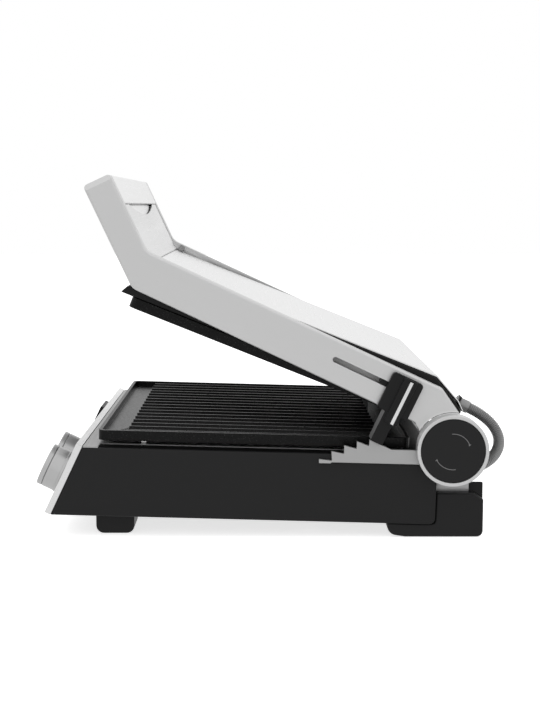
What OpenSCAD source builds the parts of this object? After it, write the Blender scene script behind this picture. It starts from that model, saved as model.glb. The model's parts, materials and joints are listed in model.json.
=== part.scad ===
// Electric indoor grill: a ribbed lower plate on a tilted base, and a heated
// head that floats between two die-cast arms hinged at the rear of the base.
// Base frame: y runs from the hinge to the front as negative values.
// Arm frame: outlines are drawn as [reach in front of the hinge, height above it].

/* [Base] */
// Width of the base housing beside the plate, on each side
base_margin = 12.5; // [12:0.1:16]
// Depth of the housing in front of the plate, at its lower edge
base_nose = 37; // [33:1:45]
// Height of the housing wall
base_h = 57; // [52:1:60]
// Rearward fall of the base, so that fat runs to the drain
base_tilt = 1.5; // [1:0.1:2.5]
// Clear height under the housing, below the hinge
rear_clear = 11.3; // [10:0.1:14]
// Wall thickness of the moulded housing
wall = 3; // [2.5:0.1:4]
// Lean of the control panel from upright
panel_lean = 24; // [20:1:28]
// Thickness of the control panel
panel_t = 5.4; // [4:0.1:6]

/* [Plates] */
// Width of both grill plates
plate_w = 305; // [290:1:308]
// Depth of both grill plates
plate_d = 258; // [240:1:262]
// Height of a plate from its back to its rim
plate_h = 8.5; // [7:0.1:9]
// Thickness of a plate's rim
rim_t = 3; // [2:0.1:4]
// Width of the flat strip in front of the ribs
strip_w = 20; // [14:1:26]
// Number of ribs on a plate
rib_count = 17; // [11:1:21]
// Width of a rib at its foot
rib_w = 6; // [4:0.5:8]

/* [Lid] */
// Height of the hinge axis above the counter
hinge_z = 75.4; // [74:0.1:79]
// Angle of the arms while the clip stands on the top step
lid_rest = 25.5; // [24:0.1:26]
// Outer radius of the hinge hub
hub_r = 29.2; // [28:0.1:30]
// Thickness of an arm
arm_t = 13; // [10:0.5:13.5]
// Reach of the arm's outer elbow beyond the depth of the plate
arm_extra = 32.6; // [30:0.1:38]
// Height of the arm's lower edge above the hinge axis
arm_low = 6.7; // [5:0.1:8]
// Depth of the straight part of the arm
arm_depth = 32; // [30:0.1:33]
// Bend from the arm to the handle
handle_bend = 39.5; // [36:0.5:43]
// Length of the handle part, along its outer edge
handle_len = 90; // [80:1:96]
// Width of the handle part
handle_w = 23.4; // [20:0.1:26]
// Diameter of the hinge release button
button_d = 52; // [46:0.5:52.5]

/* [Head] */
// Width of the head housing that shows beside the steel cover
cover_inset = 3.5; // [3:0.1:8]
// Height of the head above its plate
head_h = 32.4; // [30:0.1:34]
// Pitch of the head against the arms, front down
head_pitch = 3.7; // [3:0.1:5]
// Thickness of the steel sheets
sheet_t = 1.5; // [1:0.1:2]

/* [Height clip] */
// Distance between two neighbouring steps, along the arm
clip_step = 10.6; // [9:0.1:11]
// Number of steps below the top one
step_count = 4; // [2:1:4]
// Change of the lid's angle from step to step
step_angle = 4.6; // [4:0.1:5]
// Width of the slot in the arm
slot_w = 4.6; // [4:0.1:6]

/* [Knobs] */
// Diameter of a knob
knob_d = 37; // [32:0.5:40]
// Height of a knob in front of the panel
knob_h = 17; // [13:0.5:18]

/* [Conduit] */
// Outer diameter of the flexible metal conduit
conduit_d = 10; // [8:0.5:11]
// Number of ribs along the conduit
conduit_ribs = 44; // [30:1:60]

/* [Hidden] */
$fn = 64;
// Overrun of every cut, gap between bodies, gap of a running fit
over = 1;
gap = 0.3;
run_gap = 0.05;
base_w = plate_w + 2 * base_margin;
plate_gap = 34;
base_front = plate_gap + plate_d + base_nose;
arm_reach = plate_d + arm_extra;
half_w = base_w / 2;
plate_half = plate_w / 2;
cover_w = plate_w - 2 * cover_inset;

// Plain helpers
function unit(v) = v / norm(v);
function turn2(v, a) = [v.x * cos(a) - v.y * sin(a), v.x * sin(a) + v.y * cos(a)];
function cross2(a, b) = a.x * b.y - a.y * b.x;
function flat2(p) = [p.x, p.y];

// Points of one rounded corner: each corner is [x, y, radius]
corner_steps = 6;
function corner_arc(before, here, after) =
    let (u = unit(flat2(before) - flat2(here)), v = unit(flat2(after) - flat2(here)),
         half = acos(u * v) / 2, centre = flat2(here) + unit(u + v) * here.z / sin(half),
         start = flat2(here) + u * here.z / tan(half),
         sweep = (180 - 2 * half) * sign(cross2(-u, v)))
    [for (k = [0 : corner_steps]) centre + turn2(start - centre, sweep * k / corner_steps)];
function rounded(path) =
    let (n = len(path))
    [for (i = [0 : n - 1])
        each (path[i].z == 0
            ? [flat2(path[i])]
            : corner_arc(path[(i + n - 1) % n], path[i], path[(i + 1) % n]))];

// Extrude a [y, z] outline along x
module along_x(x0, x1) {
    translate([x0, 0, 0]) rotate([90, 0, 90]) linear_extrude(x1 - x0) children();
}
// Extrude a [reach, height] outline along x
module reach_x(x0, x1) {
    along_x(x0, x1) mirror([1, 0]) children();
}
// A round bar or bore along x
module rod_x(x0, x1, r) {
    translate([x0, 0, 0]) rotate([0, 90, 0]) cylinder(h = x1 - x0, r = r);
}
module both_sides() {
    children();
    mirror([1, 0, 0]) children();
}
module rounded_box(size, r) {
    linear_extrude(size.z)
        polygon(rounded([[0, 0, r], [size.x, 0, r], [size.x, size.y, r], [0, size.y, r]]));
}

// Base frame, with the hinge in it
hinge_base = [-(hinge_z - rear_clear) * sin(base_tilt), (hinge_z - rear_clear) * cos(base_tilt)];
function base_to_world(p) = [p.x * cos(base_tilt) + p.y * sin(base_tilt),
                             -p.x * sin(base_tilt) + p.y * cos(base_tilt) + rear_clear];
rear_y = -12.2;
panel_up = [sin(panel_lean), cos(panel_lean)];
panel_out = [-cos(panel_lean), sin(panel_lean)];
panel_foot = [-base_front, 0];
panel_len = base_h / cos(panel_lean);
front_top = panel_foot + panel_up * panel_len;

// Knobs on the panel
knob_gap = 0.4;
knob_up_share = 0.508;
knob_up = panel_len * knob_up_share;
knob_in = 25;
knob_right_x = half_w - knob_in;
knob_pitch = 61;
knob_front = panel_foot + panel_up * (knob_up - knob_d / 2) + panel_out * (panel_t + knob_gap + knob_h);

// Conduit route in the hinge frame, as [x, y, z]: straight ends and one curve between them
collar_in = 60;
collar_x = half_w - collar_in;
gland_in = 37;
gland_x = half_w - gland_in;
collar_h = 32;
collar_a = -0.5;
gland_z = -26;
conduit_pull_lid = 48;
conduit_pull_base = 45;
conduit_r = conduit_d / 2;
conduit_wall = 1;
conduit_end = conduit_d;
lid_dir = [0, cos(lid_rest), -sin(lid_rest)];
base_dir = [0, 1, 0];
conduit_p0 = [collar_x, -collar_a * cos(lid_rest) + collar_h * sin(lid_rest),
              collar_a * sin(lid_rest) + collar_h * cos(lid_rest)];
conduit_p1 = conduit_p0 + lid_dir * conduit_end;
gland_len = 8;
conduit_p4 = [gland_x, rear_y + gland_len, gland_z];
conduit_p3 = conduit_p4 + base_dir * conduit_end;
function bend_point(t) =
    let (s = 1 - t, across = t * t * (3 - 2 * t),
         p = s * s * s * conduit_p1 + 3 * s * s * t * (conduit_p1 + lid_dir * conduit_pull_lid)
             + 3 * s * t * t * (conduit_p3 + base_dir * conduit_pull_base) + t * t * t * conduit_p3)
    [collar_x + (gland_x - collar_x) * across, p.y, p.z];
conduit_rear = max([for (k = [0 : 40]) bend_point(k / 40).y]) + conduit_r * cos(180 / 8);

// The origin lies under the middle of the grill's depth
origin_y = -(base_to_world(knob_front).x + conduit_rear) / 2;

module on_hinge() {
    translate([0, origin_y, hinge_z]) children();
}
module on_base() {
    translate([0, origin_y, rear_clear]) rotate([-base_tilt, 0, 0]) children();
}
module on_panel(x, up) {
    on_base() translate([x, panel_foot.x + panel_up.x * up + panel_out.x * panel_t,
                         panel_foot.y + panel_up.y * up + panel_out.y * panel_t])
        rotate([90 - panel_lean, 0, 0]) children();
}
module on_lid() {
    on_hinge() rotate([-lid_rest, 0, 0]) children();
}
// Head frame: its origin lies between the arms, level with the plate's back
head_gap = 31.5;
plate_ahead = 10.5;
plate_f1 = plate_d / 2 + plate_ahead;
plate_f0 = plate_f1 - plate_d;
head_reach = head_gap - plate_f0;
head_rise = 22;
module on_head() {
    on_lid() translate([0, -head_reach, head_rise]) rotate([head_pitch, 0, 0]) children();
}

// Housing of the base
shell_round = 5;
deck_t = 1;
flange_t = 3;
plate_front = base_nose - base_front;
plate_rear = plate_front + plate_d;
opening_in = 7;
opening_half = plate_half - opening_in;
opening_front = plate_front + opening_in;
opening_rear = plate_rear - opening_in;
tray_front = -100;
tray_rear = -38;
tray_h = 27;
tray_reach = 62;
cover_t = 2.5;
base_profile = [[panel_foot.x, 0, 0], [rear_y, 0, shell_round], [rear_y, base_h, shell_round - wall],
                [front_top.x, base_h, 0]];
function inner_front(z) = panel_foot.x + z * tan(panel_lean) + wall / cos(panel_lean);
module tray_mouth(grow) {
    translate([-half_w - over, tray_front - grow, cover_t + gap - grow])
        cube([wall + 2 * over, tray_rear - tray_front + 2 * grow, tray_h + 2 * grow]);
}
module base_shell() {
    color("dimgray") on_base() difference() {
        along_x(-half_w, half_w) polygon(rounded(base_profile));
        along_x(-half_w + wall, half_w - wall)
            polygon([[inner_front(-over), -over], [rear_y - wall, -over],
                     [rear_y - wall, base_h - flange_t], [inner_front(base_h - flange_t), base_h - flange_t]]);
        translate([-opening_half, opening_front, -over])
            cube([2 * opening_half, opening_rear - opening_front, base_h + 2 * over]);
        for (i = [0, 1]) knob_hole(i);
        display_hole();
        tray_mouth(gap);
        gland_hole(gland_r + run_gap);
        inlet_hole();
    }
}
screw_r = 1.6;
vent_count = 9;
vent_w = 3;
vent_len = 70;
vent_pitch = 9;
module bottom_cover() {
    margin = wall + gap;
    color("black") on_base() difference() {
        along_x(-half_w + margin, half_w - margin)
            polygon([[inner_front(0) + gap, 0], [rear_y - margin, 0], [rear_y - margin, cover_t],
                     [inner_front(cover_t) + gap, cover_t]]);
        for (i = [0 : vent_count - 1])
            translate([(i - (vent_count - 1) / 2) * vent_pitch - vent_w / 2,
                       (plate_front + plate_rear) / 2 - vent_len / 2, -over])
                cube([vent_w, vent_len, cover_t + 2 * over]);
        for (p = screw_places) translate([p.x, p.y, -over]) cylinder(h = cover_t + 2 * over, r = screw_r + gap);
    }
}
screw_in = 30;
screw_x = half_w - screw_in;
screw_front = opening_front + screw_in;
screw_rear = tray_front - screw_in / 2;
screw_places = [[screw_x, screw_front], [-screw_x, screw_front], [0, screw_front],
                [screw_x, screw_rear], [-screw_x, screw_rear]];
head_t = 1.2;
module base_screws() {
    color("silver") on_base() for (p = screw_places) translate([p.x, p.y, 0]) {
        translate([0, 0, -head_t]) cylinder(h = head_t, r = 2 * screw_r);
        cylinder(h = 4 * cover_t, r = screw_r);
    }
}

// Control panel and what it carries
knob_shaft_r = 3;
bezel_w = 44;
bezel_h = 40;
bezel_t = 4;
bezel_x = -58;
bezel_top = 1.5;
bezel_round = 3;
bezel_frame = 6;
window_w = bezel_w - 2 * bezel_frame;
window_h = bezel_h - 2 * bezel_frame;
module panel_hole(x, up, size) {
    translate([x, panel_foot.x + panel_up.x * up, panel_foot.y + panel_up.y * up])
        rotate([90 - panel_lean, 0, 0]) translate([-size.x / 2, -size.y / 2, -3 * wall])
            cube([size.x, size.y, 3 * wall + panel_t + 2 * over]);
}
module display_hole() {
    panel_hole(bezel_x, panel_len - bezel_top - bezel_h / 2, [window_w, window_h]);
}
module knob_hole(i) {
    translate([knob_right_x - i * knob_pitch, panel_foot.x + panel_up.x * knob_up,
               panel_foot.y + panel_up.y * knob_up])
        rotate([90 - panel_lean, 0, 0]) translate([0, 0, -3 * wall])
            cylinder(h = 3 * wall + panel_t + 2 * over, r = knob_shaft_r + 2 * gap);
}
panel_outline = [panel_foot + panel_out * panel_t, panel_foot, front_top + panel_up * deck_t,
                 front_top + panel_out * panel_t + panel_up * deck_t];
module control_panel() {
    color("silver") on_base() difference() {
        along_x(-half_w, half_w) polygon(panel_outline);
        for (i = [0, 1]) knob_hole(i);
        display_hole();
    }
}
module display_bezel() {
    color("black") on_panel(bezel_x, panel_len - bezel_top - bezel_h / 2) difference() {
        translate([-bezel_w / 2, -bezel_h / 2, 0]) rounded_box([bezel_w, bezel_h, bezel_t], bezel_round);
        translate([-window_w / 2, -window_h / 2, -over]) cube([window_w, window_h, bezel_t + 2 * over]);
    }
}
window_t = bezel_t - 2 * gap;
module display_window() {
    color("darkslategray") on_panel(bezel_x, panel_len - bezel_top - bezel_h / 2)
        translate([-window_w / 2 + gap, -window_h / 2 + gap, -panel_t - wall / 2])
            cube([window_w - 2 * gap, window_h - 2 * gap, panel_t + wall / 2 + window_t]);
}
board_t = 1.6;
board_gap = 9;
board_w = 214;
board_h = 40;
board_x = 50;
control_depth = board_gap;
control_r = 8;
module control_board() {
    color("darkgreen") on_panel(board_x, knob_up)
        translate([-board_w / 2, -board_h / 2, -panel_t - wall - control_depth - board_t])
            cube([board_w, board_h, board_t]);
}
module rotary_controls() {
    color("gray") for (i = [0, 1]) on_panel(knob_right_x - i * knob_pitch, knob_up) {
        translate([0, 0, -panel_t - wall - control_depth]) cylinder(h = control_depth, r = control_r);
        translate([0, 0, -panel_t - wall]) cylinder(h = panel_t + wall + knob_gap + knob_h / 2, r = knob_shaft_r);
    }
}
knob_skirt_t = 2;
knob_ring_t = 4.3;
knob_groove = 0.6;
pointer_w = 1.6;
module knob() {
    r = knob_d / 2;
    bore_h = knob_h / 2 + gap;
    difference() {
        rotate_extrude() polygon([[0, knob_gap], [r, knob_gap], [r, knob_gap + knob_skirt_t],
            [r - knob_groove, knob_gap + knob_skirt_t], [r - knob_groove, knob_h - knob_ring_t],
            [r - 2 * knob_groove, knob_h - knob_ring_t], [r - 2 * knob_groove, knob_h - knob_ring_t + knob_groove],
            [r - knob_groove, knob_h - knob_ring_t + knob_groove], [r - knob_groove, knob_gap + knob_h - knob_groove],
            [r - 2 * knob_groove, knob_gap + knob_h], [0, knob_gap + knob_h]]);
        translate([0, 0, -over]) cylinder(h = knob_gap + bore_h + over, r = knob_shaft_r + run_gap);
        translate([-pointer_w / 2, r / 3, knob_gap + knob_h - knob_groove]) cube([pointer_w, r, over]);
    }
}
module knob_right() {
    color("lightgray") on_panel(knob_right_x, knob_up) knob();
}
module knob_middle() {
    color("lightgray") on_panel(knob_right_x - knob_pitch, knob_up) knob();
}

// Steel deck round the lower plate
pan_in = 20;
pan_half = opening_half - pan_in;
pan_front = opening_front + pan_in / 2;
pan_rear = opening_rear - pan_in;
drain_r = 6;
drain_in = 8;
drain_x = -(opening_half - drain_in);
drain_y = opening_rear - drain_in - 1.5 * deck_t;
deck_lap = 3;
deck_side = opening_half + deck_lap;
panel_seam = 0.8;
deck_front = front_top.x + panel_seam;
deck_lip = plate_front + deck_lap / 2;
deck_back = opening_rear + deck_lap;
module top_deck() {
    color("silver") on_base() difference() {
        union() {
            translate([-half_w, deck_front, base_h]) cube([base_w, deck_lip - deck_front, deck_t]);
            translate([-deck_side, deck_front, base_h])
                cube([2 * deck_side, deck_back - deck_front, deck_t]);
        }
        translate([-pan_half, pan_front, base_h - over])
            cube([2 * pan_half, pan_rear - pan_front, deck_t + 2 * over]);
        translate([drain_x, drain_y, base_h - over]) cylinder(h = deck_t + 2 * over, r = drain_r + deck_t);
    }
}

// Grill plate, back at zero and ribs upwards: x across, y from the front edge backwards
plate_floor = 3.4;
rib_h_share = 0.82;
rib_top_share = 0.37;
drain_lip = 1;
rim_round = 6;
module grill_plate() {
    inner_w = plate_w - 2 * rim_t;
    rib_pitch = inner_w / rib_count;
    rib_top = plate_floor + (plate_h - plate_floor) * rib_h_share;
    rib_len = plate_d - 2 * rim_t - 2 * strip_w;
    difference() {
        translate([-plate_half, 0, 0]) rounded_box([plate_w, plate_d, plate_h], rim_round);
        translate([-inner_w / 2, rim_t, plate_floor])
            rounded_box([inner_w, plate_d - 2 * rim_t, plate_h], rim_round - rim_t);
        translate([drain_x, drain_y - plate_front, -over]) cylinder(h = plate_h, r = drain_r - drain_lip);
    }
    for (i = [0 : rib_count - 1])
        translate([(i + 0.5) * rib_pitch - inner_w / 2, rim_t + strip_w, 0])
            rotate([-90, 0, 0]) linear_extrude(rib_len)
                polygon([[-rib_w / 2, -plate_floor + run_gap], [rib_w / 2, -plate_floor + run_gap],
                         [rib_w / 2 * rib_top_share, -rib_top], [-rib_w / 2 * rib_top_share, -rib_top]]);
}
plate_rise = 4.2;
plate_lift = base_h + plate_rise;
module lower_plate() {
    color("#2a2a2a") on_base() translate([0, plate_front, plate_lift]) grill_plate();
}
clip_w = 4;
clip_t = 1;
clip_inset = 35.5;
module plate_clip(rise) {
    cube([clip_t, clip_w, rise]);
    translate([-3 * clip_t, 0, rise - clip_t]) cube([4 * clip_t, clip_w, clip_t]);
}
module lower_plate_clips() {
    color("silver") on_base() both_sides() for (y = [plate_front + clip_inset, plate_rear - clip_inset - clip_w])
        translate([deck_side - 2 * clip_t, y, base_h + deck_t]) plate_clip(plate_lift - base_h - deck_t - gap);
}

// Heating of the lower plate
heater_r = 3.3;
heater_in = 22;
heater_half = pan_half - heater_in;
heater_core = 21.75;
heater_bend = heater_half / 2 - heater_core;
pan_depth = 12;
flange = 7;
pan_t = 0.8;
// Two long legs joined by a half ring at each end, open at the rear for the leads
module heater_loop(length) {
    for (s = [-1, 1]) translate([s * heater_bend, 0, 0]) rotate([-90, 0, 0]) cylinder(h = length, r = heater_r);
    rotate([0, 0, 180]) rotate_extrude(angle = 180) translate([heater_bend, 0]) circle(heater_r);
}
module heater_pair(length) {
    for (s = [-1, 1]) translate([s * heater_half / 2, 0, 0]) heater_loop(length);
}
heater_front = 12;
heater_len = pan_rear - pan_front - 2 * (heater_bend + heater_front);
module lower_heater() {
    color("gray") on_base()
        translate([0, pan_front + heater_bend + heater_front, plate_lift - heater_r - gap]) heater_pair(heater_len);
}
module pan(half, depth, drop, top_t) {
    difference() {
        union() {
            translate([-half - flange, -flange, 0]) cube([2 * (half + flange), depth + 2 * flange, top_t]);
            translate([-half + gap, gap, -drop]) cube([2 * (half - gap), depth - 2 * gap, drop + top_t]);
        }
        translate([-half + gap + pan_t, gap + pan_t, -drop + pan_t])
            cube([2 * (half - gap - pan_t), depth - 2 * (gap + pan_t), drop + top_t]);
    }
}
module lower_reflector() {
    color("silver") on_base() translate([0, pan_front, base_h + deck_t])
        pan(pan_half, pan_rear - pan_front, pan_depth, pan_t);
}
probe_r = 8;
module lower_thermostat() {
    low = base_h + deck_t - pan_depth + pan_t;
    color("tan") on_base() translate([0, (pan_front + pan_rear) / 2, low])
        cylinder(h = plate_lift - gap - low, r = probe_r);
}

// Height rack and hinge brackets
rack_t = 3.5;
foot_a = 58.6;
foot_drop = 21.2;
foot_w = 10.6;
tooth_len = foot_w;
disc_r = hub_r;
rack_low = 50.6;
rack_high = 62.4;
bracket_cut = 4;
tab_t = 3.4;
tab_len = 9;
function step_lid(i) = lid_rest - i * step_angle;
function step_point(i) =
    let (a = foot_a + clip_step * i, t = step_lid(i))
    [-a * cos(t) - foot_drop * sin(t), a * sin(t) - foot_drop * cos(t)]
    + [-sin(t), -cos(t)] * gap;
function tooth(i) =
    let (t = step_lid(i), along = [-cos(t), sin(t)] * tooth_len / 2)
    [step_point(i) + along, step_point(i) - along];
function hinge_to_base(p) =
    [p.x * cos(base_tilt) - (p.y + hinge_z - rear_clear) * sin(base_tilt),
     p.x * sin(base_tilt) + (p.y + hinge_z - rear_clear) * cos(base_tilt)];
rack_teeth = [for (i = [step_count : -1 : 0]) each [for (p = tooth(i)) hinge_to_base(p)]];
rack_tab = rack_teeth[0];
rack_ramp = unit(rack_teeth[len(rack_teeth) - 1] - rack_teeth[len(rack_teeth) - 2]);
rack_last = rack_teeth[len(rack_teeth) - 1];
rack_corner = rack_last + rack_ramp * (rack_last.y - rack_high) / -rack_ramp.y;
rack_outline = concat(
    [[hinge_base.x, rack_low], [rack_teeth[1].x, rack_low], [rack_teeth[1].x - over, rack_tab.y - tab_t],
     [rack_tab.x, rack_tab.y - tab_t]],
    rack_teeth, [rack_corner, [hinge_base.x, rack_high]]);
plain_outline = [[hinge_base.x, rack_low], [rack_teeth[1].x, rack_low], [rack_teeth[1].x, rack_high - bracket_cut],
                 [rack_teeth[1].x + 1.5 * bracket_cut, rack_high], [hinge_base.x, rack_high]];
pin_r = 6;
pin_boss = 12;
pin_boss_len = 7;
module bracket(outline) {
    on_base() difference() {
        union() {
            along_x(half_w, half_w + rack_t) polygon(outline);
            translate([0, hinge_base.x, hinge_base.y]) {
                rod_x(half_w, half_w + rack_t, disc_r - run_gap);
                rod_x(half_w - pin_boss_len, half_w + rack_t, pin_boss);
            }
        }
        translate([0, hinge_base.x, hinge_base.y])
            rod_x(half_w - pin_boss_len - over, half_w + rack_t + over, pin_r + run_gap);
    }
}
module height_rack_right() {
    color("darkgray") bracket(rack_outline);
}
module hinge_bracket_left() {
    color("darkgray") mirror([1, 0, 0]) bracket(plain_outline);
}

// Hub, with its pocket for the release button
hub_x0 = half_w + rack_t + gap;
hub_web = 3.2;
button_room = 6;
hub_x1 = hub_x0 + hub_web + button_room;
hub_floor = hub_x0 + hub_web;
pin_head_r = 9;
pin_head_t = 1;
module hinge_pins() {
    color("silver") both_sides() on_hinge() {
        rod_x(half_w - pin_boss_len, hub_floor + gap / 2, pin_r);
        rod_x(hub_floor + gap / 2, hub_floor + gap / 2 + pin_head_t, pin_head_r);
    }
}
button_r = button_d / 2;
button_t = 1.8;
button_travel = 2;
button_in = 0.6;
skirt_t = 1.5;
module button() {
    x1 = hub_x1 - button_in;
    on_hinge() difference() {
        rod_x(hub_floor + button_travel + gap, x1, button_r);
        rod_x(hub_floor, x1 - button_t, button_r - skirt_t);
    }
}
module release_button_right() {
    color("#262626") button();
}
module release_button_left() {
    color("#262626") mirror([1, 0, 0]) button();
}
spring_in = 12;
spring_out = 20;
spring_t = 0.5;
module button_spring() {
    top = hub_x1 - button_in - button_t - hub_floor - gap / 2;
    on_hinge() translate([hub_floor, 0, 0]) rotate([0, 90, 0]) rotate_extrude()
        polygon([[spring_in, gap / 2], [spring_in + spring_t, gap / 2], [spring_out, top - spring_t],
                 [spring_out, top], [spring_out - spring_t, top], [spring_in, gap / 2 + spring_t]]);
}
module button_spring_right() {
    color("silver") button_spring();
}
module button_spring_left() {
    color("silver") mirror([1, 0, 0]) button_spring();
}

// Arms
arm_sunk = 0.5;
arm_x1 = half_w + rack_t - arm_sunk;
arm_x0 = arm_x1 - arm_t;
arm_high = arm_low + arm_depth;
heel_reach = 28.5;
heel_rise = 2.5;
heel_round = 3.5;
heel = [heel_reach, arm_high + heel_rise];
handle_dir = [cos(handle_bend), sin(handle_bend)];
handle_out = [-sin(handle_bend), cos(handle_bend)];
elbow_low = [arm_reach, arm_low];
tip_low = elbow_low + handle_dir * handle_len;
tip_high = tip_low + handle_out * handle_w;
elbow_high = tip_high - handle_dir * (tip_high.y - arm_high) / handle_dir.y;
elbow_round = 12;
tip_round = 3;
arm_throat = 11;
web_out = 2;
function with_r(p, r) = [p.x, p.y, r];
arm_outline = rounded([[web_out, hub_r - tip_round, 0], with_r(heel, heel_round),
                       with_r(elbow_high, elbow_round + web_out), with_r(tip_high, tip_round),
                       with_r(tip_low, tip_round), with_r(elbow_low, elbow_round),
                       [hub_r + web_out, arm_low, elbow_round], [hub_r - 2 * web_out, -arm_throat, 0]]);
neck_fillet = 3;
swing_gap = 1.3;
swing_r = disc_r + swing_gap;
// Slot of the height clip
slot_h_share = 0.58;
slot_h = arm_low + arm_depth * slot_h_share;
slider_nose = 18.5;
slider_tail = 13.5;
slot_a0 = foot_a - slider_tail - gap;
slot_a1 = foot_a + slider_nose + clip_step * step_count + gap;
module slot_shape(a0, a1, w) {
    polygon(rounded([[a0, slot_h - w / 2, w / 2.02], [a1, slot_h - w / 2, w / 2.02],
                     [a1, slot_h + w / 2, w / 2.02], [a0, slot_h + w / 2, w / 2.02]]));
}
arm_skin = 2;
float_in = 9;
float_x0 = plate_half - float_in;
float_r = 5;
float_reach = 15;
// Slanting cut at the outer edge of the arm's tip
tip_cut_len = 4.4;
tip_cut_x = 2.5;
module tip_cut() {
    slant = unit([tip_cut_x, tip_cut_len]) * 2 * over;
    on_lid() translate([0, -tip_low.x, tip_low.y]) rotate([-handle_bend, 0, 0])
        translate([0, 0, -over]) linear_extrude(handle_w + 2 * over)
            polygon([[arm_x1 - tip_cut_x, 0] - slant, [arm_x1 + 2 * over, -2 * over - tip_cut_len],
                     [arm_x1, tip_cut_len] + slant]);
}
module arm() {
    difference() {
        union() {
            on_lid() reach_x(arm_x0, arm_x1) polygon(arm_outline);
            on_lid() intersection() {
                reach_x(arm_x1 - over, hub_x1) polygon(arm_outline);
                rotate([0, 90, 0]) translate([0, 0, arm_x1 - over]) rotate_extrude($fn = 96) difference() {
                    square([hub_r + neck_fillet, neck_fillet + over]);
                    translate([hub_r + neck_fillet, neck_fillet + over]) circle(neck_fillet);
                }
            }
            on_hinge() rod_x(hub_x0, hub_x1, hub_r);
        }
        on_hinge() rod_x(arm_x0 - over, hub_x0, swing_r);
        on_hinge() rod_x(hub_floor, hub_x1 + over, button_r + gap);
        on_hinge() rod_x(hub_x0 - over, hub_x1, pin_r + run_gap);
        on_head() translate([0, -float_reach, 0]) rod_x(arm_x0 - over, arm_x1 - arm_skin, float_r + run_gap);
        on_lid() translate([0, -stop_a, stop_h]) rod_x(arm_x0 - over, arm_x0 + stop_in, stop_r);
        tip_cut();
    }
}
module arm_right() {
    color("silver") difference() {
        arm();
        on_lid() reach_x(arm_x0 - over, arm_x1 + over) slot_shape(slot_a0, slot_a1, slot_w);
    }
}
module arm_left() {
    color("silver") mirror([1, 0, 0]) arm();
}
module float_pins() {
    color("silver") both_sides() on_head() translate([0, -float_reach, 0])
        rod_x(float_x0, arm_x1 - arm_skin - gap, float_r);
}

// Handle between the arms
handle_x = arm_x0 - gap;
bar_len = 26;
bar_round = 3;
tongue_drop = 4;
tongue_len = 14;
function on_handle(along, across) = elbow_low + handle_dir * along + handle_out * across;
module handle_bar() {
    low = handle_len - bar_len;
    color("gainsboro") on_lid() {
        reach_x(-handle_x, handle_x)
            polygon(rounded([with_r(on_handle(handle_len, 0), bar_round), with_r(on_handle(handle_len, handle_w), bar_round),
                             with_r(on_handle(low, handle_w), bar_round / 3), with_r(on_handle(low, 0), bar_round / 3)]));
        reach_x(-recess_half, recess_half)
            polygon([on_handle(low + over, handle_w - tongue_drop), on_handle(low - tongue_len, handle_w - tongue_drop),
                     on_handle(low - tongue_len, handle_w - tongue_drop - sheet_t),
                     on_handle(low + over, handle_w - tongue_drop - sheet_t)]);
    }
}
sheet_in = 1;
back_cut = 5.2;
back_round = 6;
back_end = [arm_reach - back_cut, arm_high - back_cut];
module handle_back() {
    top = handle_len - bar_len - gap;
    outer = handle_w - sheet_in;
    color("gainsboro") on_lid() difference() {
        reach_x(-handle_x, handle_x) difference() {
            polygon(rounded([with_r(on_handle(top, outer), 0), with_r(back_end_top(), back_round),
                             with_r(back_end, 0), with_r(back_end - [0, sheet_t], 0),
                             with_r(back_end_low(), back_round + sheet_t), with_r(on_handle(top, outer - sheet_t), 0)]));
        }
        recess_cut(top);
    }
}
function meet_level(across, level) =
    let (p = on_handle(0, across)) p + handle_dir * (level - p.y) / handle_dir.y;
function back_end_top() = meet_level(handle_w - sheet_in, back_end.y);
function back_end_low() = meet_level(handle_w - sheet_in - sheet_t, back_end.y - sheet_t);
// Crescent for the fingertips, cut into the top edge of the sheet
recess_half = 115;
recess_deep = 10;
recess_r = (recess_half * recess_half + recess_deep * recess_deep) / (2 * recess_deep);
module recess_cut(top) {
    p = on_handle(top, handle_w);
    translate([0, -p.x, p.y]) rotate([180 - handle_bend, 0, 0])
        translate([0, recess_r - recess_deep, -recess_deep])
            cylinder(h = 2 * recess_deep, r = recess_r, $fn = 180);
}
front_low = 9;
front_round = 1;
module handle_front() {
    top = handle_len - bar_len - gap;
    color("gainsboro") on_lid() reach_x(-handle_x, handle_x)
        polygon(rounded([with_r(on_handle(top, 0), 0), with_r(on_handle(front_low, 0), front_round),
                         with_r(on_handle(front_low, 2 * sheet_t), front_round), with_r(on_handle(top, sheet_t), 0)]));
}
// Rubber stop in the inner wall of each arm, above the edge of the cover
stop_r = 2.7;
stop_in = 4;
stop_out = 9;
stop_a = back_end.x - sheet_t - stop_r;
stop_wall = 0.7;
stop_h = arm_high - stop_r - stop_wall;
module head_stops() {
    color("black") both_sides() on_lid() translate([0, -stop_a, stop_h])
        rod_x(arm_x0 - stop_out, arm_x0 + stop_in - gap, stop_r - run_gap);
}

// Bracket and collar that hold the conduit to the right arm
strap_h0 = 14;
strap_h1 = 20;
strap_t = 1.5;
leaf_reach = 38;
collar_wall = 0.9;
collar_r = conduit_r + gap + collar_wall;
collar_len = 8;
module conduit_bracket() {
    x1 = arm_x0;
    color("darkgray") on_lid() difference() {
        union() {
            reach_x(x1 - strap_t, x1) polygon([[collar_a, strap_h0], [leaf_reach, strap_h0],
                                               [leaf_reach, strap_h1], [collar_a, strap_h1]]);
            translate([collar_x - collar_r, -collar_a - strap_t, strap_h0])
                cube([x1 - collar_x + collar_r, strap_t, strap_h1 - strap_h0]);
            translate([collar_x - collar_r, -collar_a - strap_t, strap_h0])
                cube([2 * collar_r, strap_t, collar_h + collar_r - strap_h0]);
        }
        translate([collar_x, -collar_a - strap_t - over, collar_h]) rotate([-90, 0, 0])
            cylinder(h = strap_t + 2 * over, r = duct_r);
    }
}
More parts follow.
